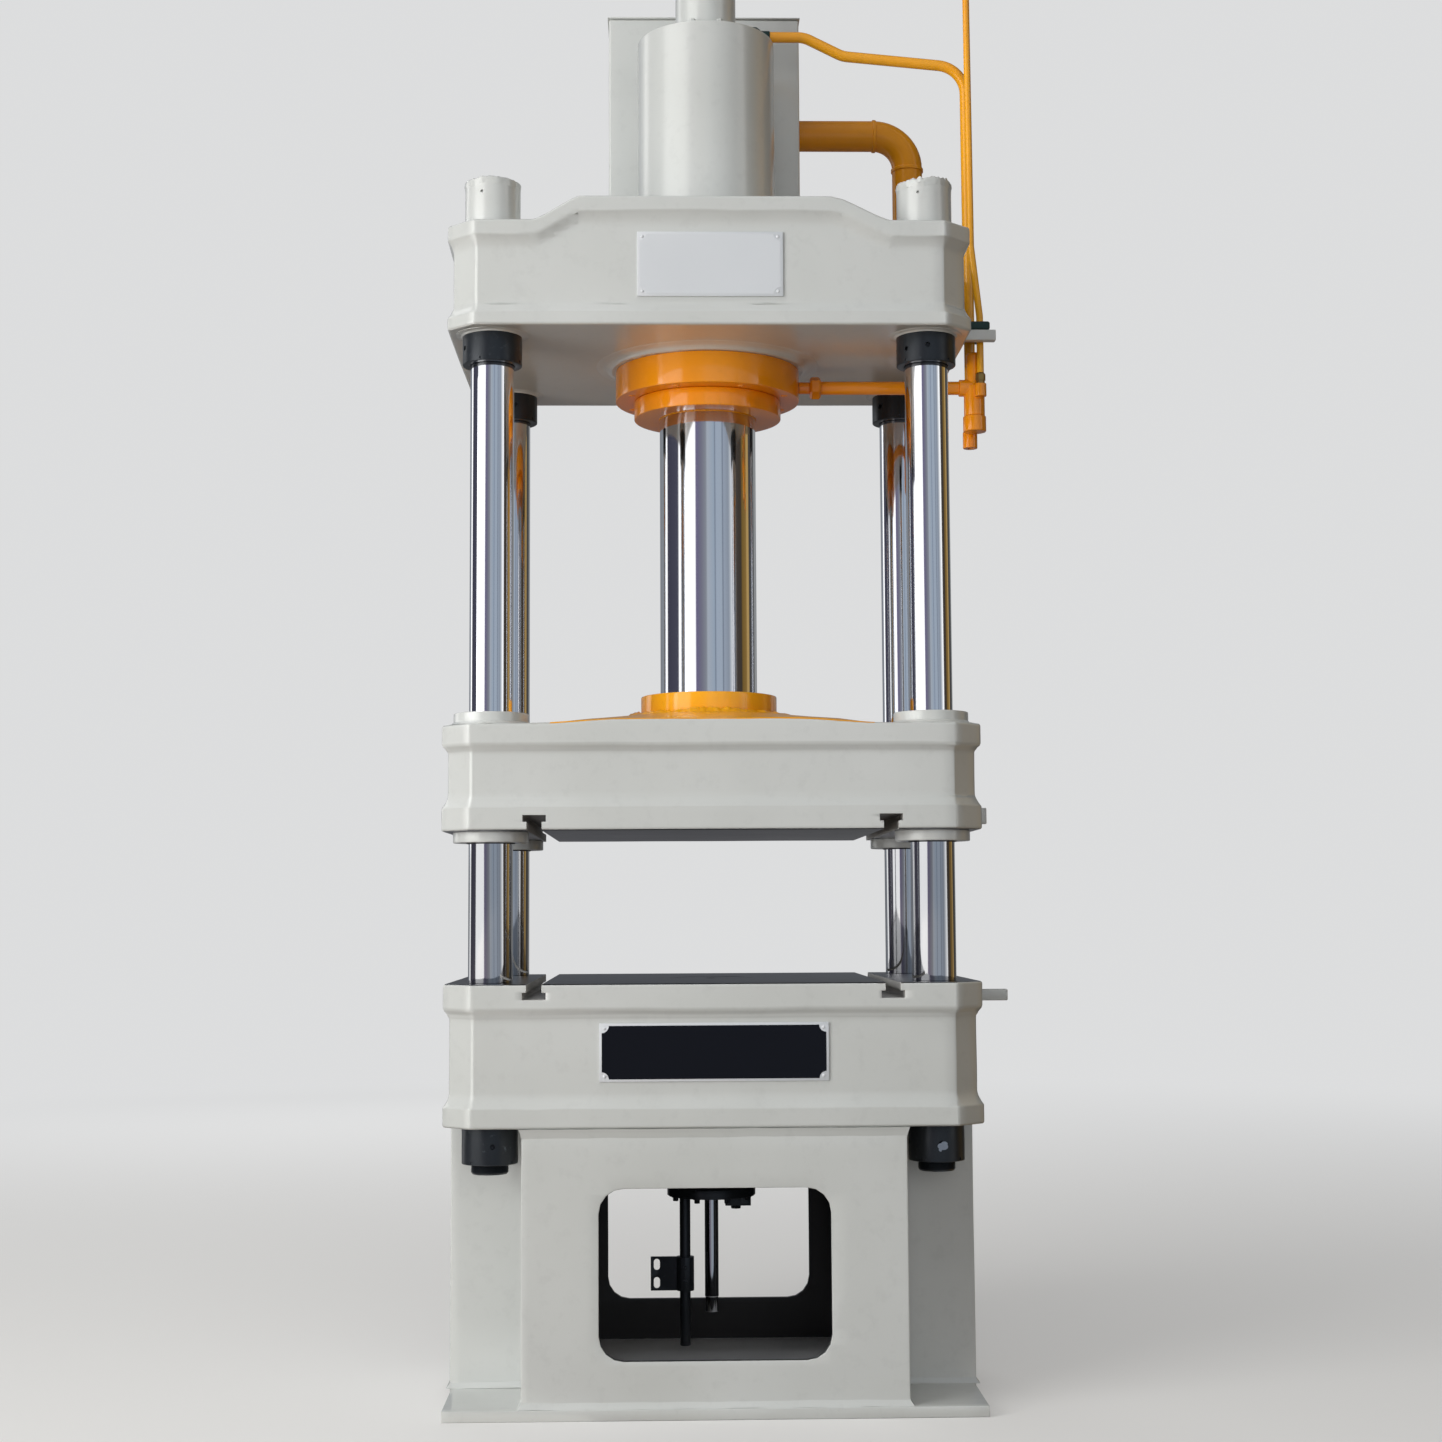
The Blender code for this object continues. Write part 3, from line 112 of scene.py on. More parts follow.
class Look(Tree):
    """A node material under construction, with its Principled shader and object coordinates."""

    def __init__(self, name, color, roughness, metallic=0.0, coat=0.0, coat_roughness=0.1):
        self.mat = bpy.data.materials.new(name)
        self.mat.use_nodes = True
        super().__init__(self.mat.node_tree)
        self.shader = self.tree.nodes["Principled BSDF"]
        sockets = "Base Color", "Roughness", "Metallic", "Coat Weight", "Coat Roughness"
        for socket, value in zip(sockets, ((*color, 1.0), roughness, metallic, coat, coat_roughness)):
            self.set(socket, value)
        self.coords = self.add("ShaderNodeTexCoord").outputs["Object"]
        self.relief = {}

    def set(self, socket, value):
        self.shader.inputs[socket].default_value = value

    def drive(self, socket, output):
        self.tree.links.new(output, self.shader.inputs[socket])

    def noise(self, scale, detail=2.0, rough=0.5, stretch=(1, 1, 1)):
        place = self.add("ShaderNodeMapping", {"Vector": self.coords, "Scale": stretch}).outputs["Vector"]
        inputs = {"Vector": place, "Scale": scale, "Detail": detail, "Roughness": rough}
        return self.add("ShaderNodeTexNoise", inputs).outputs["Fac"]

    def mix(self, a, b, factor, mode="MIX"):
        a, b = (value if hasattr(value, "is_output") else (*value, 1) for value in (a, b))
        made = self.add("ShaderNodeMix", {0: factor, 6: a, 7: b}, data_type="RGBA", blend_type=mode)
        return made.outputs[2]

    def paint(self, color):
        self.drive("Base Color", color)

    def rough(self, pattern, low, high):
        self.drive("Roughness", self.spread(pattern, 0.0, 1.0, low, high))

    def bump(self, pattern, distance, strength=1.0):
        """One more layer of relief, distance in metres."""
        inputs = {"Height": pattern, "Distance": distance, "Strength": strength, **self.relief}
        self.relief = {"Normal": self.add("ShaderNodeBump", inputs).outputs["Normal"]}
        self.drive("Normal", self.relief["Normal"])


def gloss_paint(name, color, deep, coat=0.9, brush=0.0, shine=0.25, mirror=1.85, haze=0.21):
    """Brushed or rolled gloss paint: two near tones, orange peel, soft waviness of the filler below."""
    look = Look(name, color, 0.4, coat=coat, coat_roughness=haze)
    look.set("Specular IOR Level", shine)
    look.set("Coat IOR", mirror)
    tone = look.ramp(look.noise(2.6, 3.0), [(0.35, 0.0), (0.68, 1.0)])
    base = look.mix(deep, color, tone)
    grime = look.ramp(look.noise(38, 4.0, 0.65), [(0.30, 0.80), (0.46, 1.0)])
    look.paint(look.mix(base, grime, 0.22, "MULTIPLY"))
    look.rough(look.noise(9, 3.0), 0.34, 0.50)
    look.bump(look.noise(8, 2.0), 0.004, 0.10)
    look.bump(look.noise(150, 1.0), 0.0002, 0.12)
    if brush:
        look.bump(look.noise(22, 3.0, 0.6, (1, 1, 14)), 0.0003, brush)
    return look


ORANGE_HALF_X, ORANGE_HALF_Y = 0.298, 0.352
ORANGE_RIM_Y = 0.3382
SQUARENESS, RAGGEDNESS, ORANGE_END = 8.0, 1.1, 1.55


def cone_look():
    """The crosshead's paint: cream, with orange brushed over the cone up to a ragged line."""
    look = gloss_paint("paint_crosshead", *CREAM_TONES)
    cream = look.shader.inputs["Base Color"].links[0].from_socket
    # The cone's orange is that lightened copy of the gland's orange: painted light.
    orange = look.mix(YELLOW_AND_LIT_ORANGE_TONES[1], YELLOW_AND_LIT_ORANGE_TONES[0], look.noise(6, 3.0))
    x, y, z = look.xyz(look.coords)
    across, along = (
        look.math("POWER", look.math("ABSOLUTE", look.math("DIVIDE", place, half)), SQUARENESS)
        for place, half in ((x, ORANGE_HALF_X), (y, ORANGE_HALF_Y))
    )
    ragged = look.math("MULTIPLY", look.noise(13, 3.0, 0.55), RAGGEDNESS)
    inside = look.math("LESS_THAN", look.math("ADD", look.math("MAXIMUM", across, along), ragged), ORANGE_END)
    over = look.math("GREATER_THAN", z, SLIDE_TOP - 0.0015)
    rim = look.math("LESS_THAN", look.math("ABSOLUTE", y), ORANGE_RIM_Y)
    look.paint(look.mix(cream, orange, look.math("MULTIPLY", look.math("MULTIPLY", inside, over), rim)))
    return look


def dark_steel(name, color, roughness, metallic, rings=0.5):
    """Blackened turned steel with fine rings and a little wear."""
    look = Look(name, color, roughness, metallic)
    wear = look.ramp(look.noise(70, 5.0, 0.7), [(0.62, 0.0), (0.80, 1.0)])
    look.paint(look.mix(color, tuple(min(1.0, 4 * c + 0.02) for c in color), wear))
    look.rough(look.noise(45, 3.0), roughness - 0.08, roughness + 0.14)
    if rings:
        look.bump(look.noise(7, 3.0, 0.6, (1, 1, 130)), 0.0002, rings)
    look.bump(look.noise(260, 2.0), 0.0002, 0.4)
    return look


def chrome_look():
    """Hard chrome over ground steel: near mirror, with faint haze and hair-fine grinding rings."""
    look = Look("chrome_polished", (0.78, 0.79, 0.81), 0.06, 1.0)
    look.rough(look.noise(5, 3.0, 0.6, (1, 1, 0.4)), 0.035, 0.11)
    look.paint(look.mix((0.68, 0.69, 0.72), (0.80, 0.81, 0.82), look.noise(3, 2.0)))
    look.bump(look.noise(9, 2.0, 0.5, (1, 1, 220)), 0.00002, 0.12)
    return look


def machined_look(name, color):
    """Ground table steel: lengthwise lay marks, a thin film of oil and faint stains."""
    look = Look(name, (0.26, 0.26, 0.28), 0.3, 1.0)
    look.paint(look.mix(tuple(0.45 * c for c in color), color, look.noise(7, 4.0, 0.6)))
    look.rough(look.noise(18, 4.0, 0.6, (1, 6, 1)), 0.22, 0.42)
    look.bump(look.noise(90, 3.0, 0.6, (12, 0.4, 1)), 0.0002, 0.4)
    return look


CREAM_TONES = (0.64, 0.655, 0.64), (0.585, 0.60, 0.58)
# The yellower orange is the thin pipes' own paint. On the ram's foot ring, the filler round it and the
# crosshead's cone, it is the gland's orange lightened for the stronger light there: painted light.
YELLOW_AND_LIT_ORANGE_TONES = (0.98, 0.46, 0.004), (0.93, 0.37, 0.003)
CREAM = gloss_paint("paint_cream", *CREAM_TONES)
CONE = cone_look()
SLICK = {"coat": 0.8, "shine": 0.15, "mirror": 1.7, "haze": 0.09}
ORANGE = gloss_paint("paint_orange", (0.95, 0.335, 0.002), (0.87, 0.255, 0.0015), brush=0.5, **SLICK)
YELLOW_AND_LIT_ORANGE = gloss_paint("paint_yellow_and_lit_orange", *YELLOW_AND_LIT_ORANGE_TONES, brush=0.1, **SLICK)
OCHRE = gloss_paint("paint_ochre", (0.88, 0.37, 0.006), (0.72, 0.26, 0.004), 0.3, 0.3, 0.10)
CHROME = chrome_look()
STEEL = machined_look("steel_machined", (0.13, 0.13, 0.14))
# A lighter copy of the machined steel for the crosshead's shaded underside: painted light.
UNDERSIDE_LIGHTENED = machined_look("steel_underside_lightened", (0.36, 0.36, 0.38))
BLACK = dark_steel("steel_blackened", (0.020, 0.024, 0.029), 0.32, 0.35)
GREEN = dark_steel("steel_green", (0.008, 0.030, 0.026), 0.42, 0.2)
BRASS = dark_steel("brass_dull", (0.42, 0.27, 0.09), 0.38, 1.0)
WORN = dark_steel("steel_worn", (0.42, 0.43, 0.45), 0.32, 1.0)
SILVER = Look("plate_silver", (0.60, 0.62, 0.64), 0.3, 0.25)
SILVER.rough(SILVER.noise(30, 3.0, 0.6, (14, 1, 1)), 0.24, 0.38)
# The plate's base colour is lightened and runs lighter and darker in broad soft patches: painted sheen.
SILVER.paint(SILVER.mix((0.70, 0.72, 0.74), (0.82, 0.84, 0.86), SILVER.noise(4, 2.0)))
SILVER.bump(SILVER.noise(5, 2.0), 0.002, 0.10)
PANEL = Look("plate_black", (0.003, 0.0035, 0.007), 0.16, coat=0.1)
PANEL.set("Specular IOR Level", 0.2)
PANEL.rough(PANEL.noise(12, 3.0), 0.12, 0.2)
PANEL.bump(PANEL.noise(16, 2.0), 0.001, 0.10)
# Near black for the pedestal's inner walls.
INSIDE_NEAR_BLACK = gloss_paint("inside_near_black", (0.050, 0.050, 0.052), (0.034, 0.034, 0.036), 0.0, 0.0, 0.2)
# A lightened grey inside the T-slots, standing in for the light and reflections that reach their necks: painted
# light.
SLOT_LIGHTENED = gloss_paint("slot_grey_painted_light", (0.52, 0.51, 0.49), (0.38, 0.375, 0.36), 0.0)
# The inner floor's dust is real; its pale tone stands in for the light falling in through the window: painted
# light.
DUST_AND_LIGHT = gloss_paint("dusty_floor_painted_light", (0.80, 0.80, 0.81), (0.52, 0.52, 0.53), 0.0)
# Dark rubber for the seals and wiper lips, also used as painted shade in the gland screws' sockets.
RUBBER_AND_SOCKET_SHADE = dark_steel("seal_rubber_and_socket_shade", (0.012, 0.011, 0.011), 0.55, 0.0, 0)


# ---- mesh helpers


def polar(radius, degrees, z=0.0):
    """A point at a distance from the axis, by its angle from +X."""
    angle = math.radians(degrees)
    return Vector((radius * math.cos(angle), radius * math.sin(angle), z))


def link(name, data):
    obj = bpy.data.objects.new(name, data)
    bpy.context.scene.collection.objects.link(obj)
    return obj


def finished(bm, name, looks, node=None, body="frame", angle=40):
    """Turn a bmesh into a piece that rides on a body and takes the place of a CAD node."""
    bmesh.ops.recalc_face_normals(bm, faces=bm.faces)
    mesh = bpy.data.meshes.new(name)
    bm.to_mesh(mesh)
    bm.free()
    mesh.shade_smooth()
    mesh.set_sharp_from_angle(angle=math.radians(angle))
    obj = link(name, mesh)
    looks = looks if isinstance(looks, list) else [looks]
    for look in looks:
        mesh.materials.append(look.mat)
    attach(obj, body)
    if node:
        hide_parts(node)


def ring(outer, inner, low, high):
    return [(outer, high), (outer, low), (inner, low), (inner, high)]


def rod(radius, low, high):
    return [(0, high), (radius, high), (radius, low), (0, low)]


def softened(profile, radius, steps=3, closed=False):
    """Round the corners of a (radius, height) profile."""
    points = [Vector(p) for p in profile]
    count = len(points)
    out = []
    for i, corner in enumerate(points):
        if not closed and i in (0, count - 1):
            out.append(corner)
            continue
        before = points[i - 1] - corner
        after = points[(i + 1) % count] - corner
        if min(before.length, after.length) < 1e-6 or abs(before.angle(after) - math.pi) < 0.15:
            out.append(corner)
            continue
        reach = min(radius, before.length * 0.45, after.length * 0.45)
        start = corner + before.normalized() * reach
        stop = corner + after.normalized() * reach
        for k in range(steps + 1):
            t = k / steps
            out.append((1 - t) ** 2 * start + 2 * t * (1 - t) * corner + t * t * stop)
    return out


def lathe(bm, profile, at=(0, 0, 0), facets=96, matrix=None, round_to=0.0015, index=0):
    """Spin a profile about Z; one that stays off the axis is closed into a ring."""
    closed = profile[0][0] > 0
    points = softened(profile, round_to, closed=closed) if round_to else [Vector(p) for p in profile]
    turn = matrix or Matrix.Translation(Vector(at))
    rings = []
    for radius, height in points:
        count = facets if radius >= 1e-6 else 1
        rings.append([bm.verts.new(turn @ polar(radius, 360 * k / facets, height)) for k in range(count)])
    made = []
    for upper, lower in zip(rings, rings[1:] + rings[:closed]):
        for k in range(facets):
            j = (k + 1) % facets
            if len(upper) == 1 and len(lower) == 1:
                continue
            if len(upper) == 1:
                face = (upper[0], lower[k], lower[j])
            elif len(lower) == 1:
                face = (upper[k], lower[0], upper[j])
            else:
                face = (upper[k], lower[k], lower[j], upper[j])
            made.append(bm.faces.new(face))
    for face in made:
        face.material_index = index
    return made


def spun(profile, **spin):
    bm = bmesh.new()
    lathe(bm, profile, **spin)
    return bm


def turned(name, looks, node, profile, body="frame", angle=40, **spin):
    """A piece spun from one profile."""
    finished(spun(profile, **spin), name, looks, node, body, angle=angle)


def facing(normal, at):
    """A matrix that puts +Z along a direction at a point."""
    turn = Vector((0, 0, 1)).rotation_difference(Vector(normal)).to_matrix().to_4x4()
    return Matrix.Translation(Vector(at)) @ turn


def box_into(bm, low, high, bevel, segments=2):
    low, high = Vector(low), Vector(high)
    made = bmesh.ops.create_cube(bm, size=1)["verts"]
    bmesh.ops.scale(bm, verts=made, vec=high - low)
    bmesh.ops.translate(bm, verts=made, vec=(low + high) / 2)
    edges = list({e for v in made for e in v.link_edges})
    bmesh.ops.bevel(bm, geom=edges, offset=bevel, segments=segments, affect="EDGES", profile=0.5)


def hex_head(bm, at, normal, size, height):
    """A hexagon head on its washer, chamfered on top."""
    turn = facing(normal, at)
    foot = 0.12 * height
    lathe(bm, rod(size * 1.25, 0, foot), matrix=turn, facets=32, round_to=size * 0.03)
    head = [(0, height), (size * 0.82, height), (size, 0.88 * height), (size, foot), (0, foot)]
    lathe(bm, head, matrix=turn, facets=6, round_to=0)


def bolt_circle(bm, count, first, radius, z, normal, size, height, place=Matrix()):
    """Hexagon heads round an axis, the first at an angle in degrees."""
    for k in range(count):
        hex_head(bm, place @ polar(radius, first + 360 * k / count, z), normal, size, height)


def round_head(bm, at, normal, size, height):
    """A domed screw head with a thin bar over its middle."""
    turn = facing(normal, at)
    profile = [(0, height), (size * 0.45, height * 0.94), (size * 0.8, height * 0.6), (size, 0), (0, 0)]
    lathe(bm, profile, matrix=turn, facets=20, round_to=0)
    made = bmesh.ops.create_cube(bm, size=1)["verts"]
    bmesh.ops.scale(bm, verts=made, vec=(1.4 * size, 0.18 * size, 0.3 * height))
    bmesh.ops.transform(bm, verts=made, matrix=turn @ Matrix.Translation((0, 0, height * 0.93)))


def from_mesh(mesh):
    bm = bmesh.new()
    bm.from_mesh(mesh)
    return bm


def evaluated(obj):
    """The mesh of an object with its modifiers or curve settings carried out."""
    bpy.context.view_layer.update()
    graph = bpy.context.evaluated_depsgraph_get()
    return from_mesh(bpy.data.meshes.new_from_object(obj.evaluated_get(graph)))


def tube(points, radius, sides=10):
    """A closed pipe along points, as a smooth curve turned into a mesh."""
    curve = bpy.data.curves.new("pipe_run", "CURVE")
    curve.dimensions = "3D"
    curve.bevel_depth = radius
    curve.bevel_resolution = sides
    curve.use_fill_caps = True
    spline = curve.splines.new("POLY")
    spline.points.add(len(points) - 1)
    for point, co in zip(spline.points, points):
        point.co = (*co, 1)
    obj = link("pipe_run", curve)
    bm = evaluated(obj)
    bpy.data.objects.remove(obj)
    bmesh.ops.remove_doubles(bm, verts=bm.verts, dist=1e-5)
    return bm


def bent(corners, radius, steps):
    """Straight runs joined by arcs."""
    route = [Vector(corners[0])]
    for before, corner, after in zip(corners, corners[1:], corners[2:]):
        corner = Vector(corner)
        back, ahead = Vector(before) - corner, Vector(after) - corner
        half = back.angle(ahead) / 2
        if abs(half - math.pi / 2) < 0.004:
            continue
        bend = min(radius, 0.45 * math.tan(half) * min(back.length, ahead.length))
        back.normalize()
        ahead.normalize()
        center = corner + (back + ahead).normalized() * (bend / math.sin(half))
        arm = corner + back * (bend / math.tan(half)) - center
        for i in range(steps + 1):
            angle = (math.pi - 2 * half) * i / steps
            route.append(center + arm * math.cos(angle) - back * (bend * math.sin(angle)))
    route.append(Vector(corners[-1]))
    return route


def cad_copy(node):
    """A welded copy of a CAD node's mesh with its flat faces whole again."""
    bm = from_mesh(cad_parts[node].data)
    bmesh.ops.remove_doubles(bm, verts=bm.verts, dist=2e-5)
    bmesh.ops.dissolve_limit(bm, angle_limit=math.radians(0.6), verts=bm.verts, edges=bm.edges)
    return bm


def round_sharp(bm, width, segments=2, least=25, where=None):
    """Round the sharp edges, all or only those whose middle is at a wanted place."""
    edges = [e for e in bm.edges if len(e.link_faces) == 2 and math.degrees(e.calc_face_angle(0)) > least]
    if where:
        edges = [e for e in edges if where((e.verts[0].co + e.verts[1].co) / 2)]
    bmesh.ops.bevel(
        bm, geom=edges, offset=width, segments=segments, affect="EDGES", profile=0.5, clamp_overlap=True
    )


def drilled(bm, holes):
    """Cut blind holes, each a matrix on the surface, a radius and a depth, into a closed mesh."""
    cutter = bmesh.new()
    for matrix, radius, depth in holes:
        profile = [(0, 0.003), (radius, 0.003), (radius, -depth), (0, -depth - 0.4 * radius)]
        lathe(cutter, profile, matrix=matrix, facets=24, round_to=0)
    pieces = []
    for name, part in (("drilled", bm), ("drill", cutter)):
        bmesh.ops.recalc_face_normals(part, faces=part.faces)
        mesh = bpy.data.meshes.new(name)
        part.to_mesh(mesh)
        part.free()
        pieces.append(link(name, mesh))
    body, drill = pieces
    cut = body.modifiers.new("cut", "BOOLEAN")
    cut.operation, cut.solver, cut.object = "DIFFERENCE", "EXACT", drill
    bm = evaluated(body)
    for piece in pieces:
        bpy.data.objects.remove(piece)
    return bm


def grid(bm, step, rise):
    """Cut every face along a regular grid, so that it can be shaped."""
    for axis in range(3):
        low = min(v.co[axis] for v in bm.verts)
        high = max(v.co[axis] for v in bm.verts)
        count = int((high - low) / (rise if axis == 2 else step))
        normal = Vector([float(i == axis) for i in range(3)])
        for k in range(1, count + 1):
            at = normal * (low + (k - 0.37) * (high - low) / (count + 1))
            parts = bm.verts[:] + bm.edges[:] + bm.faces[:]
            bmesh.ops.bisect_plane(bm, geom=parts, plane_co=at, plane_no=normal, dist=1e-6)
    bmesh.ops.triangulate(bm, faces=[f for f in bm.faces if len(f.verts) > 4])


def wave(point, scale, seed=0.0):
    return noise.noise(Vector(point) * scale + Vector((seed, seed * 0.7, -seed)))


# ---- castings and pedestal

DEPTH = 0.680
CUT_X, CUT_Y = 0.053, 0.050
LOWER_BLEND = 0.018
HUMP_FOOT, HUMP_FLAT = 0.341, 0.250
SLOT_X, SLOT_HALF, SLOT_DEEP, SLOT_END = 0.329, 0.0235, 0.032, 0.339
# Width, foot, top flange, blend under the flange, and how much the flange's lower line sways
CASTINGS = {
    "bed": (1.000, 0.036, 0.048, 0.012, 0.0022),
    "slide": (1.008, 0.043, 0.039, 0.008, 0.0020),
    "crown": (0.996, 0.024, 0.030, 0.018, 0.0050),
}
RECESS = 0.0115
WELL_R = 0.09


def near_slot(x, reach):
    return abs(abs(x) - SLOT_X) < reach


def eased(value):
    value = min(max(value, 0.0), 1.0)
    return value * value * (3 - 2 * value)


def hump(x):
    return (HUMP_TOP - CROWN_TOP) * min(max((HUMP_FOOT - abs(x)) / (HUMP_FOOT - HUMP_FLAT), 0.0), 1.0)


def hump_worn(x):
    """How far the smoothed hump lies below the straight one: a longer slope on the right, soft corners."""
    foot, flat = (0.339, 0.236) if x > 0 else (0.332, 0.247)
    share = min(max((foot - abs(x)) / (foot - flat), 0.0), 1.0)
    return hump(x) - (HUMP_TOP - CROWN_TOP) * (0.72 * share + 0.28 * eased(share))


def hollow(share):
    """A blend that leaves the flange's edge steeply and runs out softly into the wall."""
    return 1 - (1 - min(max(share, 0.0), 1.0)) ** 1.7


def swell(x):
    """The crosshead's top edge bulges up between the columns."""
    return 0.009 * eased((0.33 - abs(x)) / 0.17)


def cone_height(x, y):
    """Filler on the crosshead's top, from its edges up to the ram's foot."""
    cone = 0.038 - 0.118 * (math.hypot(x, y) - 0.15)
    side = eased((0.335 - abs(x)) / 0.10)
    return max(min(cone * side, swell(x) + 0.16 * (0.337 - abs(y))), 0.0)


def inward(x, y, width):
    """Distance in from the nearest side of a casting, and the direction of that side."""
    reach = math.hypot(CUT_X, CUT_Y)
    corner = (CUT_Y / reach, CUT_X / reach)
    to_corner = corner[0] * (width / 2 - abs(x)) + corner[1] * (DEPTH / 2 - CUT_Y - abs(y))
    sx, sy = math.copysign(1, x), math.copysign(1, y)
    return min(
        (width / 2 - abs(x), (sx, 0)),
        (DEPTH / 2 - abs(y), (0, sy)),
        (to_corner, (sx * corner[0], sy * corner[1])),
    )


def casting_skin(node, body, seed, finish, looks):
    """The casting with the rounded blends and slight waves of hand-smoothed filler under its paint."""
    width, foot, flange, blend, sway = CASTINGS[node]
    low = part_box(node)[0].z if node != "crown" else CROWN_LOW
    top = {"bed": TABLE, "slide": SLIDE_TOP, "crown": CROWN_TOP}[node]

    def outer(at):
        at_side = inward(at.x, at.y, width)[0] < RECESS + 0.003
        return at_side and (node == "crown" or not near_slot(at.x, 0.026))

    bm = cad_copy(node)
    round_sharp(bm, 0.0026, 4, least=40, where=outer)
    round_sharp(bm, 0.0007, 1, least=60, where=lambda at: not outer(at))
    grid(bm, 0.024, 0.0045)
    bm.normal_update()
    for vert in bm.verts:
        x, y, z = vert.co
        n = vert.normal.copy()
        near, side = inward(x, y, width)
        below = top + (hump(x) if node == "crown" else 0.0) - z
        above = z - low
        if node == "slide" and below < 0.032 and (n.z > 0.2 or near < 0.004):
            if near < 0.004:
                vert.co.z += swell(x) * eased(1 - below / 0.030)
            elif below > -0.036 or math.hypot(x, y) > 0.165:
                vert.co.z = max(z, SLIDE_TOP + cone_height(x, y) + 0.0012 * wave(vert.co, 9, seed))
        if node == "crown":
            vert.co.z -= hump_worn(x) * eased((0.110 - below) / 0.060)
        if near > RECESS + 0.004:
            if node == "crown" and abs(x) < 0.415 and n.z > 0.8:
                vert.co.z += 0.0008 * wave(vert.co, 7, seed)
            continue
        straight = RECESS * max(min((above - foot) / LOWER_BLEND, (below - flange) / blend, 1.0), 0.0)
        shares = (above - foot) / (LOWER_BLEND + 0.007), (below - flange) / (blend + 0.007)
        soft = RECESS * min(hollow(share) for share in shares)
        wall = (n.x * side[0] + n.y * side[1]) > 0.55 and not near_slot(x, 0.024)
        aim = Vector((n.x, n.y, 0)).normalized() if wall else Vector((*side, 0))
        filler = 0.0008 * wave(vert.co, 8, seed + 5) + 0.0004 * wave(vert.co, 23, seed + 8) - 0.0004
        vert.co += aim * (straight - soft + filler)
        if not near_slot(x, 0.024) or node == "crown":
            drift = wave((x, y, 0), 5, seed) + 0.4 * wave((x, y, 0), 13, seed + 2)
            vert.co.z += sway * drift * eased(1 - abs(below - flange) / 0.024)
            vert.co.z += 0.0022 * wave((x, y, 0), 4, seed + 4) * eased(1 - abs(above - foot) / 0.022)
        if abs(n.z) > 0.5 and node != "bed":
            vert.co.z += 0.0012 * wave((x, y, 0), 6, seed + 11) * (1 if n.z > 0 else 0.3)
        vert.co.x = max(min(vert.co.x, width / 2 - 0.0002), 0.0002 - width / 2)
    for face in bm.faces:
        face.material_index = finish(face)
    finished(bm, f"{node}_casting", looks, node, body, angle=26)


def table_finish(face):
    """Paint everywhere except the machined top, the slots and the well."""
    c, n = face.calc_center_median(), face.normal
    if n.z > 0.7 and c.z > TABLE - 0.002:
        return 1
    if near_slot(c.x, SLOT_HALF) and c.z > TABLE - SLOT_DEEP and abs(c.y) < SLOT_END:
        return 2
    return 1 if math.hypot(c.x, c.y) < WELL_R else 0


def slide_finish(face):
    """Machined below, in a lighter copy of the steel that is painted light; its slots take a lightened grey
    inside, also painted light.
    """
    c, n = face.calc_center_median(), face.normal
    if n.z < -0.7 and c.z < SLIDE_LOW + 0.002:
        return 1
    return 2 if near_slot(c.x, SLOT_HALF) and c.z < SLIDE_LOW + SLOT_DEEP and abs(c.y) < SLOT_END else 0


casting_skin("bed", "frame", 1.3, table_finish, [CREAM, STEEL, SLOT_LIGHTENED])
casting_skin("slide", "crosshead", 5.1, slide_finish, [CONE, UNDERSIDE_LIGHTENED, SLOT_LIGHTENED])
casting_skin("crown", "frame", 9.7, lambda face: 0, [CREAM])

FRONT, WALL, SIDE, STEP = 0.352, 0.335, 0.497, 0.145


def pedestal_finish(face):
    """Cream outside, near black on the inner walls, and a pale dusty floor inside that is lightened as painted
    light.
    """
    c, n = face.calc_center_median(), face.normal
    if abs(c.x) > FRONT - 0.004 and abs(c.y) > STEP - 0.004:
        return 0
    if c.z < 0.03 and n.z > 0.5:
        return 2 if abs(c.x) < SIDE - 0.01 and abs(c.y) < WALL - 0.01 else 0
    if abs(c.x) < SIDE - 0.004 and abs(c.y) < WALL - 0.004 and c.z > 0.02:
        return 1 if Vector((c.x, c.y, 0)).dot(n) < 0.02 or abs(c.y) < WALL - 0.014 else 0
    return 0


bm = cad_copy("pedestal")
round_sharp(bm, 0.0016)
grid(bm, 0.035, 0.035)
bm.normal_update()
for vert in bm.verts:
    if abs(vert.normal.z) < 0.9:
        vert.co += Vector((vert.normal.x, vert.normal.y, 0)) * (0.0008 * wave(vert.co, 5, 3.3) - 0.0004)
for face in bm.faces:
    face.material_index = pedestal_finish(face)
finished(bm, "pedestal_weldment", [CREAM, INSIDE_NEAR_BLACK, DUST_AND_LIGHT], "pedestal")


def offset_path(path, distance):
    """A closed right-angled outline moved outwards."""
    out = []
    count = len(path)
    for i, point in enumerate(path):
        before = (Vector(point) - Vector(path[i - 1])).normalized()
        after = (Vector(path[(i + 1) % count]) - Vector(point)).normalized()
        turn = Vector((before.y + after.y, -before.x - after.x))
        if abs(before.dot(after)) > 0.99:
            turn = Vector((before.y, -before.x))
        out.append(Vector(point) + turn * distance)
    return out


def fillet_run(bm, path, section, seed):
    """Loft a section of (outwards, height) points round a closed outline, with a slight wave."""
    fine = []
    for i, point in enumerate(path):
        a, b = Vector(point), Vector(path[(i + 1) % len(path)])
        count = max(int((b - a).length / 0.02), 1)
        fine += [a + (b - a) * (k / count) for k in range(count)]
    rings = []
    for out, height in section:
        spots = [(p.x, p.y, height) for p in offset_path(fine, out)]
        rings.append([bm.verts.new((*spot[:2], height + 0.0012 * wave(spot, 22, seed))) for spot in spots])
    count = len(fine)
    for upper, lower in zip(rings, rings[1:] + rings[:1]):
        for k in range(count):
            j = (k + 1) % count
            bm.faces.new((upper[k], upper[j], lower[j], lower[k]))


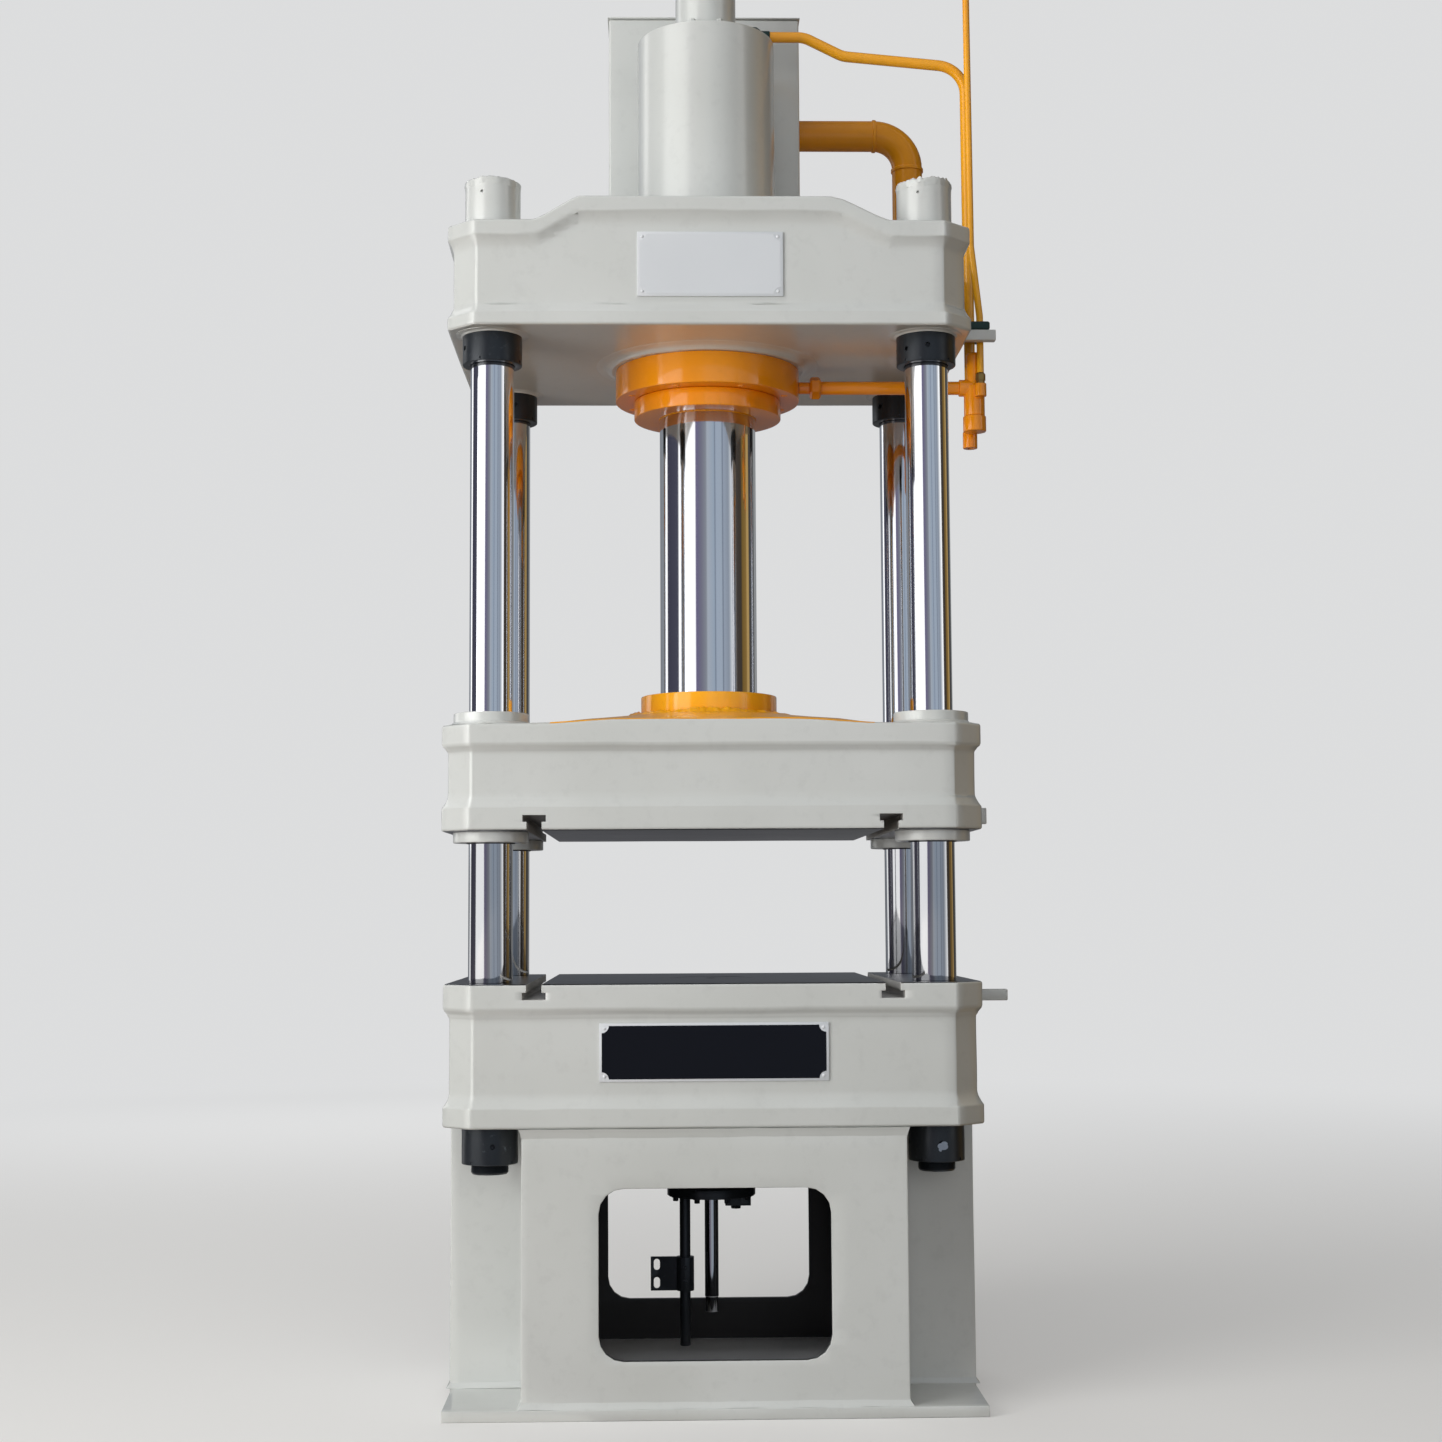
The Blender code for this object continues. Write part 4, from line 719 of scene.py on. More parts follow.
quarter = [(FRONT, -WALL), (FRONT, -STEP), (SIDE, -STEP)]
outline = quarter + [(x, -y) for x, y in reversed(quarter)]
outline += [(-x, -y) for x, y in outline]
bm = bmesh.new()
upper_joint = [(-0.001, -0.0004), (0.0046, -0.0004), (0.0030, -0.0044), (0.0012, -0.0104), (-0.001, -0.0184)]
lower_joint = [(-0.001, 0.032), (0.0014, 0.027), (0.0045, 0.0225), (0.0068, 0.0202), (-0.001, 0.0202)]
fillet_run(bm, outline, [(out, PEDESTAL_TOP + z) for out, z in upper_joint], 4.4)
fillet_run(bm, outline, lower_joint, 7.7)
finished(bm, "pedestal_filler", CREAM)


# ---- columns and nuts

GUIDE_R, BORE_R = 0.0705, 0.0418
SET_SCREW_AT = 222.8
# How far each nut is screwed round, in quarter turns
BED_SHARES = {"front_left": 0.11, "front_right": 0.04, "back_left": 0.27, "back_right": 0.62}
CROWN_SHARES = {"front_left": 0.29, "front_right": 0.97, "back_left": 0.15, "back_right": 0.44}


def spanner_nut(name, node, at, radius, inner, share, set_screw=None, worn_shut=()):
    """A round nut with spanner holes in its side, and the small punch marks at its lower edge."""
    low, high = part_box(node)
    height = high.z - low.z
    bm = spun(ring(radius, inner, low.z, high.z), at=at, round_to=0.0022)
    marks = [(90 * (k + share), height / 2, 0.005, 0.009) for k in range(4) if k not in worn_shut]
    marks += [(90 * (k + share + 0.5), 0.005, 0.003, 0.0016) for k in range(4)]
    if set_screw:
        marks.append((set_screw, 0.45 * height, 0.0044, 0.007))
    holes = []
    for degrees, level, size, depth in marks:
        out = polar(1, degrees)
        holes.append((facing(out, Vector((*at[:2], low.z + level)) + out * radius), size, depth))
    finished(drilled(bm, holes), name, BLACK, node)


def filler_round(name, corner, radius, z, reach, rise, seed, body="frame"):
    """A concave fillet of hand-laid filler where a round piece meets a casting; rise may point down."""
    section = [(-0.001, 1), (0.0012, 0.9), (0.3 * reach, 0.32), (reach, 0.04), (reach, -0.1), (-0.001, -0.1)]
    bm = bmesh.new()
    profile = [(radius + out, share * rise) for out, share in section]
    lathe(bm, profile, at=(*CORNERS[corner], z), facets=72, round_to=0.0012)
    bm.normal_update()
    for vert in bm.verts:
        vert.co += vert.normal * 0.0007 * wave(vert.co, 30, seed)
    finished(bm, name, CREAM, body=body)


def column(corner, at):
    """A chromed column: its shoulders at the crown's nut and on the table, and the thread at its foot."""
    foot, head = (end.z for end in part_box(f"column_{corner}"))
    nut_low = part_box(f"bed_nut_{corner}")[0].z
    neck, seat, end = CROWN_LOW - 0.0593, TABLE + 0.0003, nut_low - 0.0005
    shaft = spun([(0, head), (0.040, head), (0.040, neck), (COLUMN_R, neck), (COLUMN_R, seat), (0.038, seat),
                  (0.038, nut_low), (0.0345, end)], at=at, facets=128, round_to=0.0008)
    turns = 8
    pitch = (nut_low - foot - 0.003) / turns
    thread = [(0, end), (0.0345, end)]
    for k in range(turns):
        z = nut_low - 0.0008 - k * pitch
        thread += [(0.0348, z - 0.2 * pitch), (0.0335, z - 0.7 * pitch)]
    thread += [(0.0330, foot + 0.001), (0.0315, foot), (0, foot)]
    lathe(shaft, thread, at=at, round_to=0, index=1)
    finished(shaft, f"column_shaft_{corner}", [CHROME, BLACK], f"column_{corner}", angle=50)


def top_nut(corner, at, share):
    """A cream nut on the crown, and the flaking filler round its upper edge."""
    low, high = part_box(f"top_nut_{corner}")
    bm = spun(ring(0.0527, 0.0403, low.z, high.z), at=at, round_to=0.002)
    spot = Vector(at) + Vector((-0.0174, -0.0497, low.z + 0.066))
    bm = drilled(bm, [(facing((-0.35, -1, 0), spot), 0.003, 0.006)])
    finished(bm, f"nut_on_crown_{corner}", CREAM, f"top_nut_{corner}")
    crust = bmesh.new()
    rim = [(0.0405, 0.003), (0.0505, 0.0035), (0.0536, 0.001), (0.0541, -0.003), (0.0531, -0.007),
           (0.0527, -0.012), (0.0405, -0.012)]
    lathe(crust, rim, at=(*at[:2], high.z), facets=180, round_to=0)
    flaking = 0.0075 if "right" in corner else 0.0035
    for vert in crust.verts:
        spot = Vector((vert.co.x, vert.co.y, 0))
        flakes = wave(spot, 30, share * 9) + 0.9 * abs(wave(spot, 90, share * 5))
        flakes += 0.5 * wave(spot, 190, share)
        vert.co.z += flaking * max(flakes, -0.4) if vert.co.z > high.z - 0.004 else 0.004 * flakes
        out = spot - Vector(at)
        if out.length > 0.05:
            vert.co += out.normalized() * 0.0011 * wave(vert.co, 60, share * 3)
    finished(crust, f"filler_on_nut_{corner}", CREAM, angle=25)


def guides(corner, at):
    """The crosshead's collar and bush, each with a dark wiper lip on the column."""
    low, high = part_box(f"slide_collar_{corner}")
    bm = spun(ring(GUIDE_R, BORE_R, low.z, high.z), at=at, round_to=0.0022)
    lip = [(0.0455, 0.0012), (0.0462, -0.002), (0.0419, -0.002), (0.0419, 0.0022)]
    lathe(bm, lip, at=(*at[:2], high.z), round_to=0.0005, index=1)
    finished(bm, f"collar_{corner}", [CREAM, RUBBER_AND_SOCKET_SHADE], f"slide_collar_{corner}", "crosshead")
    low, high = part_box(f"guide_bush_{corner}")
    flange = SLIDE_LOW - 0.0003
    bm = spun([(0.055, high.z), (0.055, flange), (GUIDE_R, flange), (GUIDE_R, low.z), (BORE_R, low.z),
               (BORE_R, high.z)], at=at, round_to=0.0018)
    lip = [(0.0462, 0.001), (0.0455, -0.0012), (0.0419, -0.0022), (0.0419, 0.001)]
    lathe(bm, lip, at=(*at[:2], low.z), round_to=0.0004, index=1)
    finished(bm, f"bush_{corner}", [CREAM, RUBBER_AND_SOCKET_SHADE], f"guide_bush_{corner}", "crosshead")


for corner, (x, y) in CORNERS.items():
    at = (x, y, 0)
    share = BED_SHARES[corner]
    column(corner, at)
    spanner_nut(f"nut_under_bed_{corner}", f"bed_nut_{corner}", at, 0.052, 0.0383, share)
    spanner_nut(f"nut_under_crown_{corner}", f"crown_nut_{corner}", at, 0.0565, BORE_R, CROWN_SHARES[corner],
                SET_SCREW_AT if corner == "front_right" else None, (3,) if corner == "front_left" else ())
    top_nut(corner, at, share)
    filler_round(f"filler_top_{corner}", corner, 0.0527, CROWN_TOP + 0.0006, 0.012, 0.007, share * 7)
    filler_round(f"filler_crown_{corner}", corner, 0.0565, CROWN_LOW - 0.0002, 0.013, -0.004, share * 11)
    filler_round(f"filler_collar_{corner}", corner, GUIDE_R, SLIDE_TOP + 0.0008, 0.016, 0.0065, share * 13,
                 "crosshead")
    guides(corner, at)

# the bare patch on the front right nut under the table
bm = bmesh.new()
out = polar(1, -84)
patches = (0.0, 0.0, 0.0065, 0.010), (0.003, 0.005, 0.004, 0.006), (-0.003, -0.006, 0.0035, 0.005)
for dx, dz, w, h in patches:
    spot = Vector((0.415 + dx, -0.25, PEDESTAL_TOP - 0.040 + dz)) + out * 0.0517
    lathe(bm, [(0, 0.0006), (w, 0.0005), (w * 1.05, -0.003), (0, -0.003)],
          matrix=facing(out, spot) @ Matrix.Scale(h / w, 4, (1, 0, 0)), facets=14, round_to=0)
finished(bm, "nut_wear", WORN)


# ---- ram, ring, gland and cylinder

RAM_R, CYLINDER_R = 0.0965, 0.1395
low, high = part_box("ram")
turned("ram_polished", CHROME, "ram", [
    (0, high.z), (0.070, high.z), (0.070, high.z - 0.0603), (RAM_R, high.z - 0.0603), (RAM_R, low.z + 0.018),
    (0.108, low.z + 0.018), (0.108, low.z), (0, low.z)], "crosshead", 50, facets=160, round_to=0.001)

low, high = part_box("ram_ring")
turned("ram_foot_ring", YELLOW_AND_LIT_ORANGE, "ram_ring", [
    (0.1355, high.z), (0.1355, low.z), (0.1083, low.z), (0.1083, low.z + 0.0183), (0.0968, low.z + 0.0183),
    (0.0968, high.z)], "crosshead", facets=128, round_to=0.0022)
seal = [(0.0995, 0.0014), (0.1005, -0.001), (0.0967, -0.001), (0.0967, 0.0026)]
turned("ram_foot_seal", RUBBER_AND_SOCKET_SHADE, None, seal, "crosshead", at=(0, 0, high.z), facets=128, round_to=0.0005)

skirt = [(0.1364, 0.0430), (0.1430, 0.0440), (0.1510, 0.0425), (0.1590, 0.0385), (0.1700, 0.0355),
         (0.1850, 0.0325), (0.2050, 0.0300), (0.2300, 0.0265), (0.2300, 0.0180), (0.1364, 0.0180)]
bm = spun(skirt, at=(0, 0, SLIDE_TOP), facets=240, round_to=0.0025)
bm.normal_update()
for vert in bm.verts:
    r = math.hypot(vert.co.x, vert.co.y)
    lump = wave(vert.co, 24, 6.1) + 0.9 * abs(wave(vert.co, 60, 2.2)) - 0.25 + 0.35 * wave(vert.co, 150, 4.4)
    vert.co.z += 0.0070 * lump * eased((0.228 - r) / 0.06)
    if r > 0.139:
        out = Vector((vert.co.x, vert.co.y, 0)).normalized()
        vert.co += out * 0.0035 * wave(vert.co, 34, 9.9) * eased((0.2 - r) / 0.04)
finished(bm, "ram_foot_filler", YELLOW_AND_LIT_ORANGE, body="crosshead", angle=60)

low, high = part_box("cylinder")
flange_top = CROWN_LOW - 0.0103
bm = spun([(0.030, high.z), (CYLINDER_R, high.z), (CYLINDER_R, flange_top), (CYLINDER_R, flange_top - 0.001),
           (0.110, flange_top - 0.001), (0.110, high.z - 0.045), (0.030, high.z - 0.045)], facets=160,
      round_to=0.004)
lathe(bm, ring(0.1855, 0.110, low.z, flange_top), facets=160, round_to=0.0022, index=1)
finished(bm, "cylinder_body", [CREAM, ORANGE], "cylinder")

bm = bmesh.new()
fillet = [(0.1870, -0.0100), (0.1930, -0.0101), (0.1955, -0.0088), (0.1985, -0.0062), (0.2040, -0.0034),
          (0.2120, -0.0014), (0.2240, -0.0003), (0.2240, 0.0020), (0.1870, 0.0020)]
lathe(bm, fillet, at=(0, 0, CROWN_LOW), facets=160, round_to=0.001)
for vert in bm.verts:
    if vert.co.z < CROWN_LOW - 0.001:
        vert.co.z += 0.0008 * wave(vert.co, 16, 2.8)
finished(bm, "cylinder_paint_fillet", CREAM)

low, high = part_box("gland")
ledge = high.z - 0.020
bm = spun([(0.1097, high.z), (0.1097, ledge), (0.148, ledge), (0.148, low.z), (0.0975, low.z),
           (0.0975, high.z)], facets=160, round_to=0.0022)
screw = [(0, 0.0002), (0.0024, 0.0002), (0.0030, 0.0014), (0.0062, 0.0014), (0.0070, 0.0004),
         (0.0072, -0.0010), (0, -0.0010)]
# The screws' shallow sockets take the dark rubber colour: painted shade in the recess.
for k in range(8):
    spot = polar(0.1645, 22.5 + 45 * k, low.z + 0.0363)
    for face in lathe(bm, screw, matrix=facing((0, 0, -1), spot), facets=20, round_to=0):
        if (face.calc_center_median() - spot).length < 0.0022:
            face.material_index = 1
finished(bm, "gland_cover", [ORANGE, RUBBER_AND_SOCKET_SHADE], "gland")
wiper = [(0.0980, 0.001), (0.0976, -0.0008), (0.0967, -0.0012), (0.0967, 0.001)]
turned("gland_wiper", OCHRE, None, wiper, at=(0, 0, low.z), facets=128, round_to=0)

low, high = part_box("cylinder_nut")
bm = spun(ring(0.180, 0.1398, low.z, high.z), facets=128, round_to=0.003)
outs = [polar(1, 15 + 60 * k) for k in range(6)]
holes = [(facing(out, out * 0.180 + Vector((0, 0, (low.z + high.z) / 2))), 0.007, 0.012) for out in outs]
finished(drilled(bm, holes), "cylinder_lock_nut", CREAM, "cylinder_nut")


# ---- tank, filling valve

low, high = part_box("oil_tank")
bm = bmesh.new()
box_into(bm, low, (high.x, high.y, high.z - 0.0002), 0.005, 3)
grid(bm, 0.04, 0.04)
bm.normal_update()
for vert in bm.verts:
    vert.co -= vert.normal * 0.0012 * (0.5 + wave(vert.co, 6, 2.2))
finished(bm, "tank_shell", CREAM, "oil_tank")

low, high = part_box("tank_lid")
bm = bmesh.new()
box_into(bm, low, high, 0.001)
edges_x, edges_y = (low.x + 0.012, high.x - 0.012), (low.y + 0.014, high.y - 0.014)
screws = [(x, edges_y[0] + k * (edges_y[1] - edges_y[0]) / 4) for x in edges_x for k in range(5)]
screws += [(edges_x[0] + k * (edges_x[1] - edges_x[0]) / 8, y) for y in edges_y for k in range(1, 8)]
for x, y in screws:
    round_head(bm, (x, y, high.z), (0, 0, 1), 0.005, 0.003)
finished(bm, "tank_cover", CREAM, "tank_lid")

low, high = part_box("filling_valve")
reach = high.y
neck = reach - 0.012
bm = spun([(0, 0.205), (0.034, 0.205), (0.038, 0.195), (0.046, 0.190), (0.046, 0.165), (0.0615, 0.163),
           (0.0615, 0.022), (0.082, 0.022), (0.082, 0), (0, 0)], at=(0, 0, low.z), round_to=0.003)
inlet = facing((0, 1, 0), (0, 0, CYLINDER_TOP + 0.068))
lathe(bm, [(0, reach), (0.058, reach), (0.058, neck), (0.040, neck), (0.040, 0.03), (0, 0.03)], matrix=inlet,
      facets=64, round_to=0.002)
bolt_circle(bm, 8, 22.5, 0.0715, low.z + 0.022, (0, 0, 1), 0.0062, 0.009)
bolt_circle(bm, 4, 22.5, 0.049, neck, (0, -1, 0), 0.0052, 0.007, inlet)
finished(bm, "filling_valve_body", CREAM, "filling_valve")


# ---- pipes

low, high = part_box("return_pipe")
y, top, out = 0.388, HUMP_TOP + 0.3745, 0.455
bm = tube(bent([(low.x, y, top), (out, y, top), (out, y, low.z)], 0.075, 14), 0.0335, 12)
foot = (out, y, low.z)
lathe(bm, ring(0.0471, 0.029, 0, 0.014), at=foot, facets=64)
bolt_circle(bm, 4, 45, 0.0415, 0.014, (0, 0, 1), 0.0038, 0.006, Matrix.Translation(foot))
side = facing((1, 0, 0), (0, y, top))
for x in (out - 0.078, low.x + 0.001):
    lathe(bm, ring(0.0358, 0.032, x, x + 0.008), matrix=side, facets=64, round_to=0.003)
lathe(bm, ring(0.0358, 0.032, -0.008, 0), at=(out, y, top - 0.075), facets=64, round_to=0.003)
finished(bm, "return_pipe_bent", OCHRE, "return_pipe")

RUN_X, RUN_Y, HEAD = 0.539, 0.045, CYLINDER_TOP + 0.038
PILOT_X, PILOT_Y = RUN_X + 0.013, -0.027
VALVE_X = 0.5425
route = [(0.1343, RUN_Y, HEAD), (0.205, RUN_Y, HEAD), (0.285, RUN_Y, HEAD - 0.040),
         (RUN_X, RUN_Y, HEAD - 0.064), (RUN_X, RUN_Y, 2.35),
         (RUN_X + 0.002, RUN_Y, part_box("pressure_pipe")[0].z)]
finished(tube(bent(route, 0.06, 12), 0.011), "pressure_tube", YELLOW_AND_LIT_ORANGE, "pressure_pipe", angle=50)
low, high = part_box("pressure_pipe_nut")
turned("pressure_tube_nut", ORANGE, "pressure_pipe_nut", ring(0.0148, 0.006, low.z, high.z),
       at=(RUN_X, RUN_Y, 0), facets=64)

low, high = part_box("pressure_fitting")
bm = spun([(0, high.z), (0.013, high.z), (0.017, high.z - 0.005), (0.017, low.z), (0, low.z)],
      at=(0.1, RUN_Y, 0), facets=6, round_to=0)
lathe(bm, rod(0.014, 0, 0.034), matrix=facing((1, 0, 0), (0.1, RUN_Y, HEAD)), facets=6, round_to=0.0008)
finished(bm, "pressure_elbow", GREEN, "pressure_fitting", angle=30)

low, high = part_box("pilot_pipe")
top = high.z - 0.007
route = [(0.0463, 0, top), (RUN_X - 0.002, 0, top), (RUN_X - 0.002, -0.020, HUMP_TOP),
         (PILOT_X, PILOT_Y, CROWN_LOW + 0.10), (PILOT_X, PILOT_Y, low.z)]
finished(tube(bent(route, 0.05, 12), 0.007), "pilot_tube", YELLOW_AND_LIT_ORANGE, "pilot_pipe", angle=50)
low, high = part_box("pilot_nut")
turned("pilot_tube_nut", BRASS, "pilot_nut", [
    (0, high.z), (0.0075, high.z), (0.010, high.z - 0.003), (0.010, low.z + 0.006), (0.0085, low.z + 0.006),
    (0.0085, low.z), (0, low.z)], angle=30, at=(PILOT_X, PILOT_Y, 0), facets=6, round_to=0)

low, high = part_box("rod_side_union")
lying = facing((1, 0, 0), (0, 0, (low.z + high.z) / 2))
waist = low.x + 0.022
bm = spun(rod(0.012, low.x, waist), matrix=lying, facets=48, round_to=0.001)
lathe(bm, [(0, high.x), (0.019, high.x), (0.0228, high.x - 0.004), (0.0228, waist + 0.004), (0.019, waist),
           (0, waist)], matrix=lying, facets=6, round_to=0)
finished(bm, "rod_side_hex", ORANGE, "rod_side_union", angle=30)
low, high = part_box("rod_side_pipe")
turned("rod_side_tube", ORANGE, "rod_side_pipe", rod(0.0135, low.x, high.x), matrix=lying, facets=64,
       round_to=0.0008)

low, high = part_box("check_valve")
shoulder = low.z + 0.061
bm = spun([(0, high.z), (0.0125, high.z), (0.0155, high.z - 0.006), (0.0155, shoulder), (0.021, shoulder),
           (0.021, low.z), (0, low.z)], at=(VALVE_X, 0, 0), facets=64, round_to=0.002)
lathe(bm, rod(0.017, VALVE_X - 0.031, VALVE_X), matrix=lying, facets=64)
lathe(bm, rod(0.0115, shoulder - 0.026, shoulder), at=(PILOT_X, PILOT_Y, 0), facets=48, round_to=0.0012)
finished(bm, "check_valve_body", ORANGE, "check_valve")
low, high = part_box("check_valve_cap")
turned("check_valve_end", ORANGE, "check_valve_cap", rod(0.0232, low.z, high.z), at=(VALVE_X, 0, 0),
       facets=64, round_to=0.0025)


# ---- bars, clamp, plates

for node, name, body in (
    ("crown_limit_bar", "crown_bar", "frame"),
    ("bed_limit_bar", "bed_bar", "frame"),
    ("slide_striker", "striker", "crosshead"),
):
    bm = bmesh.new()
    box_into(bm, *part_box(node), 0.0022, 3)
    finished(bm, name, CREAM, node, body)

low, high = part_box("pipe_clamp")
bm = cad_copy("pipe_clamp")
round_sharp(bm, 0.0007)
hex_head(bm, ((low.x + high.x) / 2, 0.012, high.z), (0, 0, 1), 0.0055, 0.006)
finished(bm, "pipe_clamp_block", GREEN, "pipe_clamp", angle=30)


def plate(node, name, panel):
    """A bare plate with a rim, a panel with notched corners and four screws."""
    low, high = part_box(node)
    front = low.y
    middle, half = (low + high) / 2, (high - low) / 2
    bm = bmesh.new()
    box_into(bm, low, high, 0.0008)
    inset, notch = 0.0045, 0.013
    corners = ((1, 1), (-1, 1), (-1, -1), (1, -1))
    verts = []
    for turn, (sx, sz) in enumerate(corners):
        for k in range(9):
            arc = polar(notch, 270 + 90 * turn - 90 * k / 8)
            x, z = middle.x + sx * (half.x - inset) + arc.x, middle.z + sz * (half.z - inset) + arc.y
            verts.append(bm.verts.new((x, front - 0.0005, z)))
    side = bmesh.ops.extrude_face_region(bm, geom=[bm.faces.new(verts)])["geom"]
    moved = [v for v in side if isinstance(v, bmesh.types.BMVert)]
    bmesh.ops.translate(bm, verts=moved, vec=(0, 0.001, 0))
    for face in bm.faces:
        at_front = all(-0.0012 < v.co.y - front < 0.0006 for v in face.verts)
        if at_front and face.calc_center_median().y < front - 0.0001:
            face.material_index = 1
    for sx, sz in corners:
        spot = (middle.x + sx * (half.x - 0.0095), front, middle.z + sz * (half.z - 0.0095))
        round_head(bm, spot, (0, -1, 0), 0.0032, 0.0016)
    finished(bm, name, [SILVER, panel], node)


plate("bed_plate", "bed_name_place", PANEL)
plate("crown_plate", "crown_name_place", SILVER)


# ---- ejector and piston

cover_low, cover_high = (end.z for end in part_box("ejector_cover"))
barrel_low, barrel_high = (end.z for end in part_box("ejector_cylinder"))
lift = barrel_low + 0.012
low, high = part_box("ejector_ram")
turned("ejector_rods", CHROME, "ejector_ram", [
    (0, high.z), (0.028, high.z), (0.028, lift + 0.035), (0.0497, lift + 0.035), (0.0497, lift), (0.0135, lift),
    (0.0135, low.z + 0.03), (0.0125, low.z + 0.029), (0.0125, low.z), (0, low.z)], "ejector", facets=64,
    round_to=0.0008)

low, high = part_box("ejector_pad")
turned("ejector_plate", STEEL, "ejector_pad", [
    (0, high.z - 0.006), (0.010, high.z - 0.006), (0.010, high.z), (0.084, high.z), (0.084, low.z), (0, low.z)],
    "ejector", facets=128, round_to=0.0012)

bm = cad_copy("ejector_cover")
round_sharp(bm, 0.0008)
bolt_circle(bm, 8, 22.5, 0.076, cover_high - 0.018, (0, 0, -1), 0.0062, 0.008)
port = facing((0, 0, -1), (0.048, 0, cover_low))
lathe(bm, [(0, 0.007), (0.0095, 0.007), (0.0110, 0.005), (0.0110, 0), (0, 0)], matrix=port, facets=6,
      round_to=0)
port = facing((0, -1, 0), (0.064, -0.018, cover_low + 0.011))
lathe(bm, rod(0.0085, 0, 0.006), matrix=port, facets=24, round_to=0.0008)
finished(bm, "ejector_end_cover", BLACK, "ejector_cover", angle=32)

joint = PEDESTAL_TOP - 0.0003
bm = spun([(0.070, barrel_high), (0.070, joint), (0.100, joint), (0.100, joint - 0.022), (0.070, joint - 0.022),
           (0.070, barrel_low), (0.050, barrel_low), (0.050, barrel_high - 0.030), (0.0283, barrel_high - 0.030),
           (0.0283, barrel_high)], round_to=0.0012)
bolt_circle(bm, 8, 22.5, 0.086, joint - 0.022, (0, 0, -1), 0.0062, 0.008)
finished(bm, "ejector_barrel", BLACK, "ejector_cylinder", angle=32)

low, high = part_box("ejector_limit_rod")
turned("ejector_switch_rod", BLACK, "ejector_limit_rod", rod(0.0105, low.z, high.z),
       at=(-0.052, 0, 0), facets=48)
low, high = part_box("ejector_limit_bracket")
bm = cad_copy("ejector_limit_bracket")
round_sharp(bm, 0.0006)
for share in (0.3, 0.7):
    hex_head(bm, (-0.052, -0.0172, low.z + share * (high.z - low.z)), (0, -1, 0), 0.0038, 0.004)
finished(bm, "ejector_switch_bracket", BLACK, "ejector_limit_bracket", angle=32)
low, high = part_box("piston")
turned("ram_piston", STEEL, "piston", ring(0.1097, 0.0703, low.z, high.z), "crosshead", facets=128)


# ---- stage, lights and camera

PALE = (0.72, 0.725, 0.73, 1)
LIT = (1.3, 1.3, 1.3)
# What the walls of the hall throw back, by azimuth in degrees: 0 is the camera's side, + is to the right
WALLS = [
    (-180, (0.16, 0.17, 0.19)), (-133, (0.26, 0.28, 0.31)), (-131, LIT), (-119, LIT), (-117, (0.05, 0.05, 0.075)),
    (-79, (0.07, 0.07, 0.10)), (-77, LIT), (-33, LIT), (-31, (0.15, 0.13, 0.24)), (-18, (0.18, 0.18, 0.24)),
    (-6, (0.25, 0.27, 0.31)), (-3, (0.40, 0.44, 0.50)), (14, (0.33, 0.40, 0.49)), (16, (0.13, 0.16, 0.21)),
    (18, (0.36, 0.42, 0.51)), (33, (0.36, 0.42, 0.50)), (35, (0.12, 0.15, 0.20)), (37, (0.33, 0.38, 0.46)),
    (50, (0.27, 0.31, 0.37)), (56, (0.55, 0.58, 0.62)), (68, LIT), (71, (0.06, 0.05, 0.045)),
    (87, (0.05, 0.04, 0.03)), (90, (0.18, 0.11, 0.03)), (104, (0.25, 0.15, 0.045)), (106, (0.45, 0.30, 0.11)),
    (114, (0.45, 0.30, 0.11)), (116, (0.05, 0.05, 0.05)), (142, (0.08, 0.08, 0.08)), (146, (0.30, 0.31, 0.31)),
    (180, (0.16, 0.17, 0.19)),
]


def walls(tree, vector):
    """The banded walls, looked up by the direction of a vector."""
    x, y, z = tree.xyz(vector)
    azimuth = tree.math("ARCTAN2", x, tree.math("MULTIPLY", y, -1.0))
    stops = [((degrees + 180) / 360, color) for degrees, color in WALLS]
    return tree.ramp(tree.spread(azimuth, -math.pi, math.pi), stops)


def stage_floor():
    """Pale for the camera and fading into the backdrop, dark for the light it throws back."""
    bm = bmesh.new()
    bmesh.ops.create_circle(bm, cap_ends=True, radius=60, segments=96)
    mesh = bpy.data.meshes.new("floor")
    bm.to_mesh(mesh)
    bm.free()
    floor = link("floor", mesh)
    floor.location.z = -0.0005
    mat = bpy.data.materials.new("floor_pale")
    mat.use_nodes = True
    mat.node_tree.nodes.clear()
    tree = Tree(mat.node_tree)
    place = tree.add("ShaderNodeTexCoord").outputs["Object"]
    length = tree.add("ShaderNodeVectorMath", {0: place}, operation="LENGTH").outputs["Value"]
    fade = tree.spread(length, 0.5, 8.0, interpolation_type="SMOOTHSTEP")
    path = tree.add("ShaderNodeLightPath")
    lit = tree.add("ShaderNodeBsdfDiffuse", {"Color": (0.60, 0.59, 0.575, 1)}).outputs[0]
    glow = tree.add("ShaderNodeEmission", {"Color": (0.26, 0.26, 0.26, 1)}).outputs[0]
    near = tree.add("ShaderNodeAddShader", {0: lit, 1: glow}).outputs[0]
    far = tree.add("ShaderNodeEmission", {"Color": PALE}).outputs[0]
    seen = tree.mixed(fade, near, far)
    dim = tree.add("ShaderNodeBsdfDiffuse", {"Color": (0.27, 0.22, 0.175, 1)}).outputs[0]
    mirrored = tree.add("ShaderNodeEmission", {"Color": walls(tree, place), "Strength": 0.95}).outputs[0]
    thrown = tree.mixed(path.outputs["Is Glossy Ray"], dim, tree.mixed(0.78, dim, mirrored))
    shown = tree.mixed(path.outputs["Is Camera Ray"], thrown, seen)
    tree.add("ShaderNodeOutputMaterial", {"Surface": shown})
    mesh.materials.append(mat)


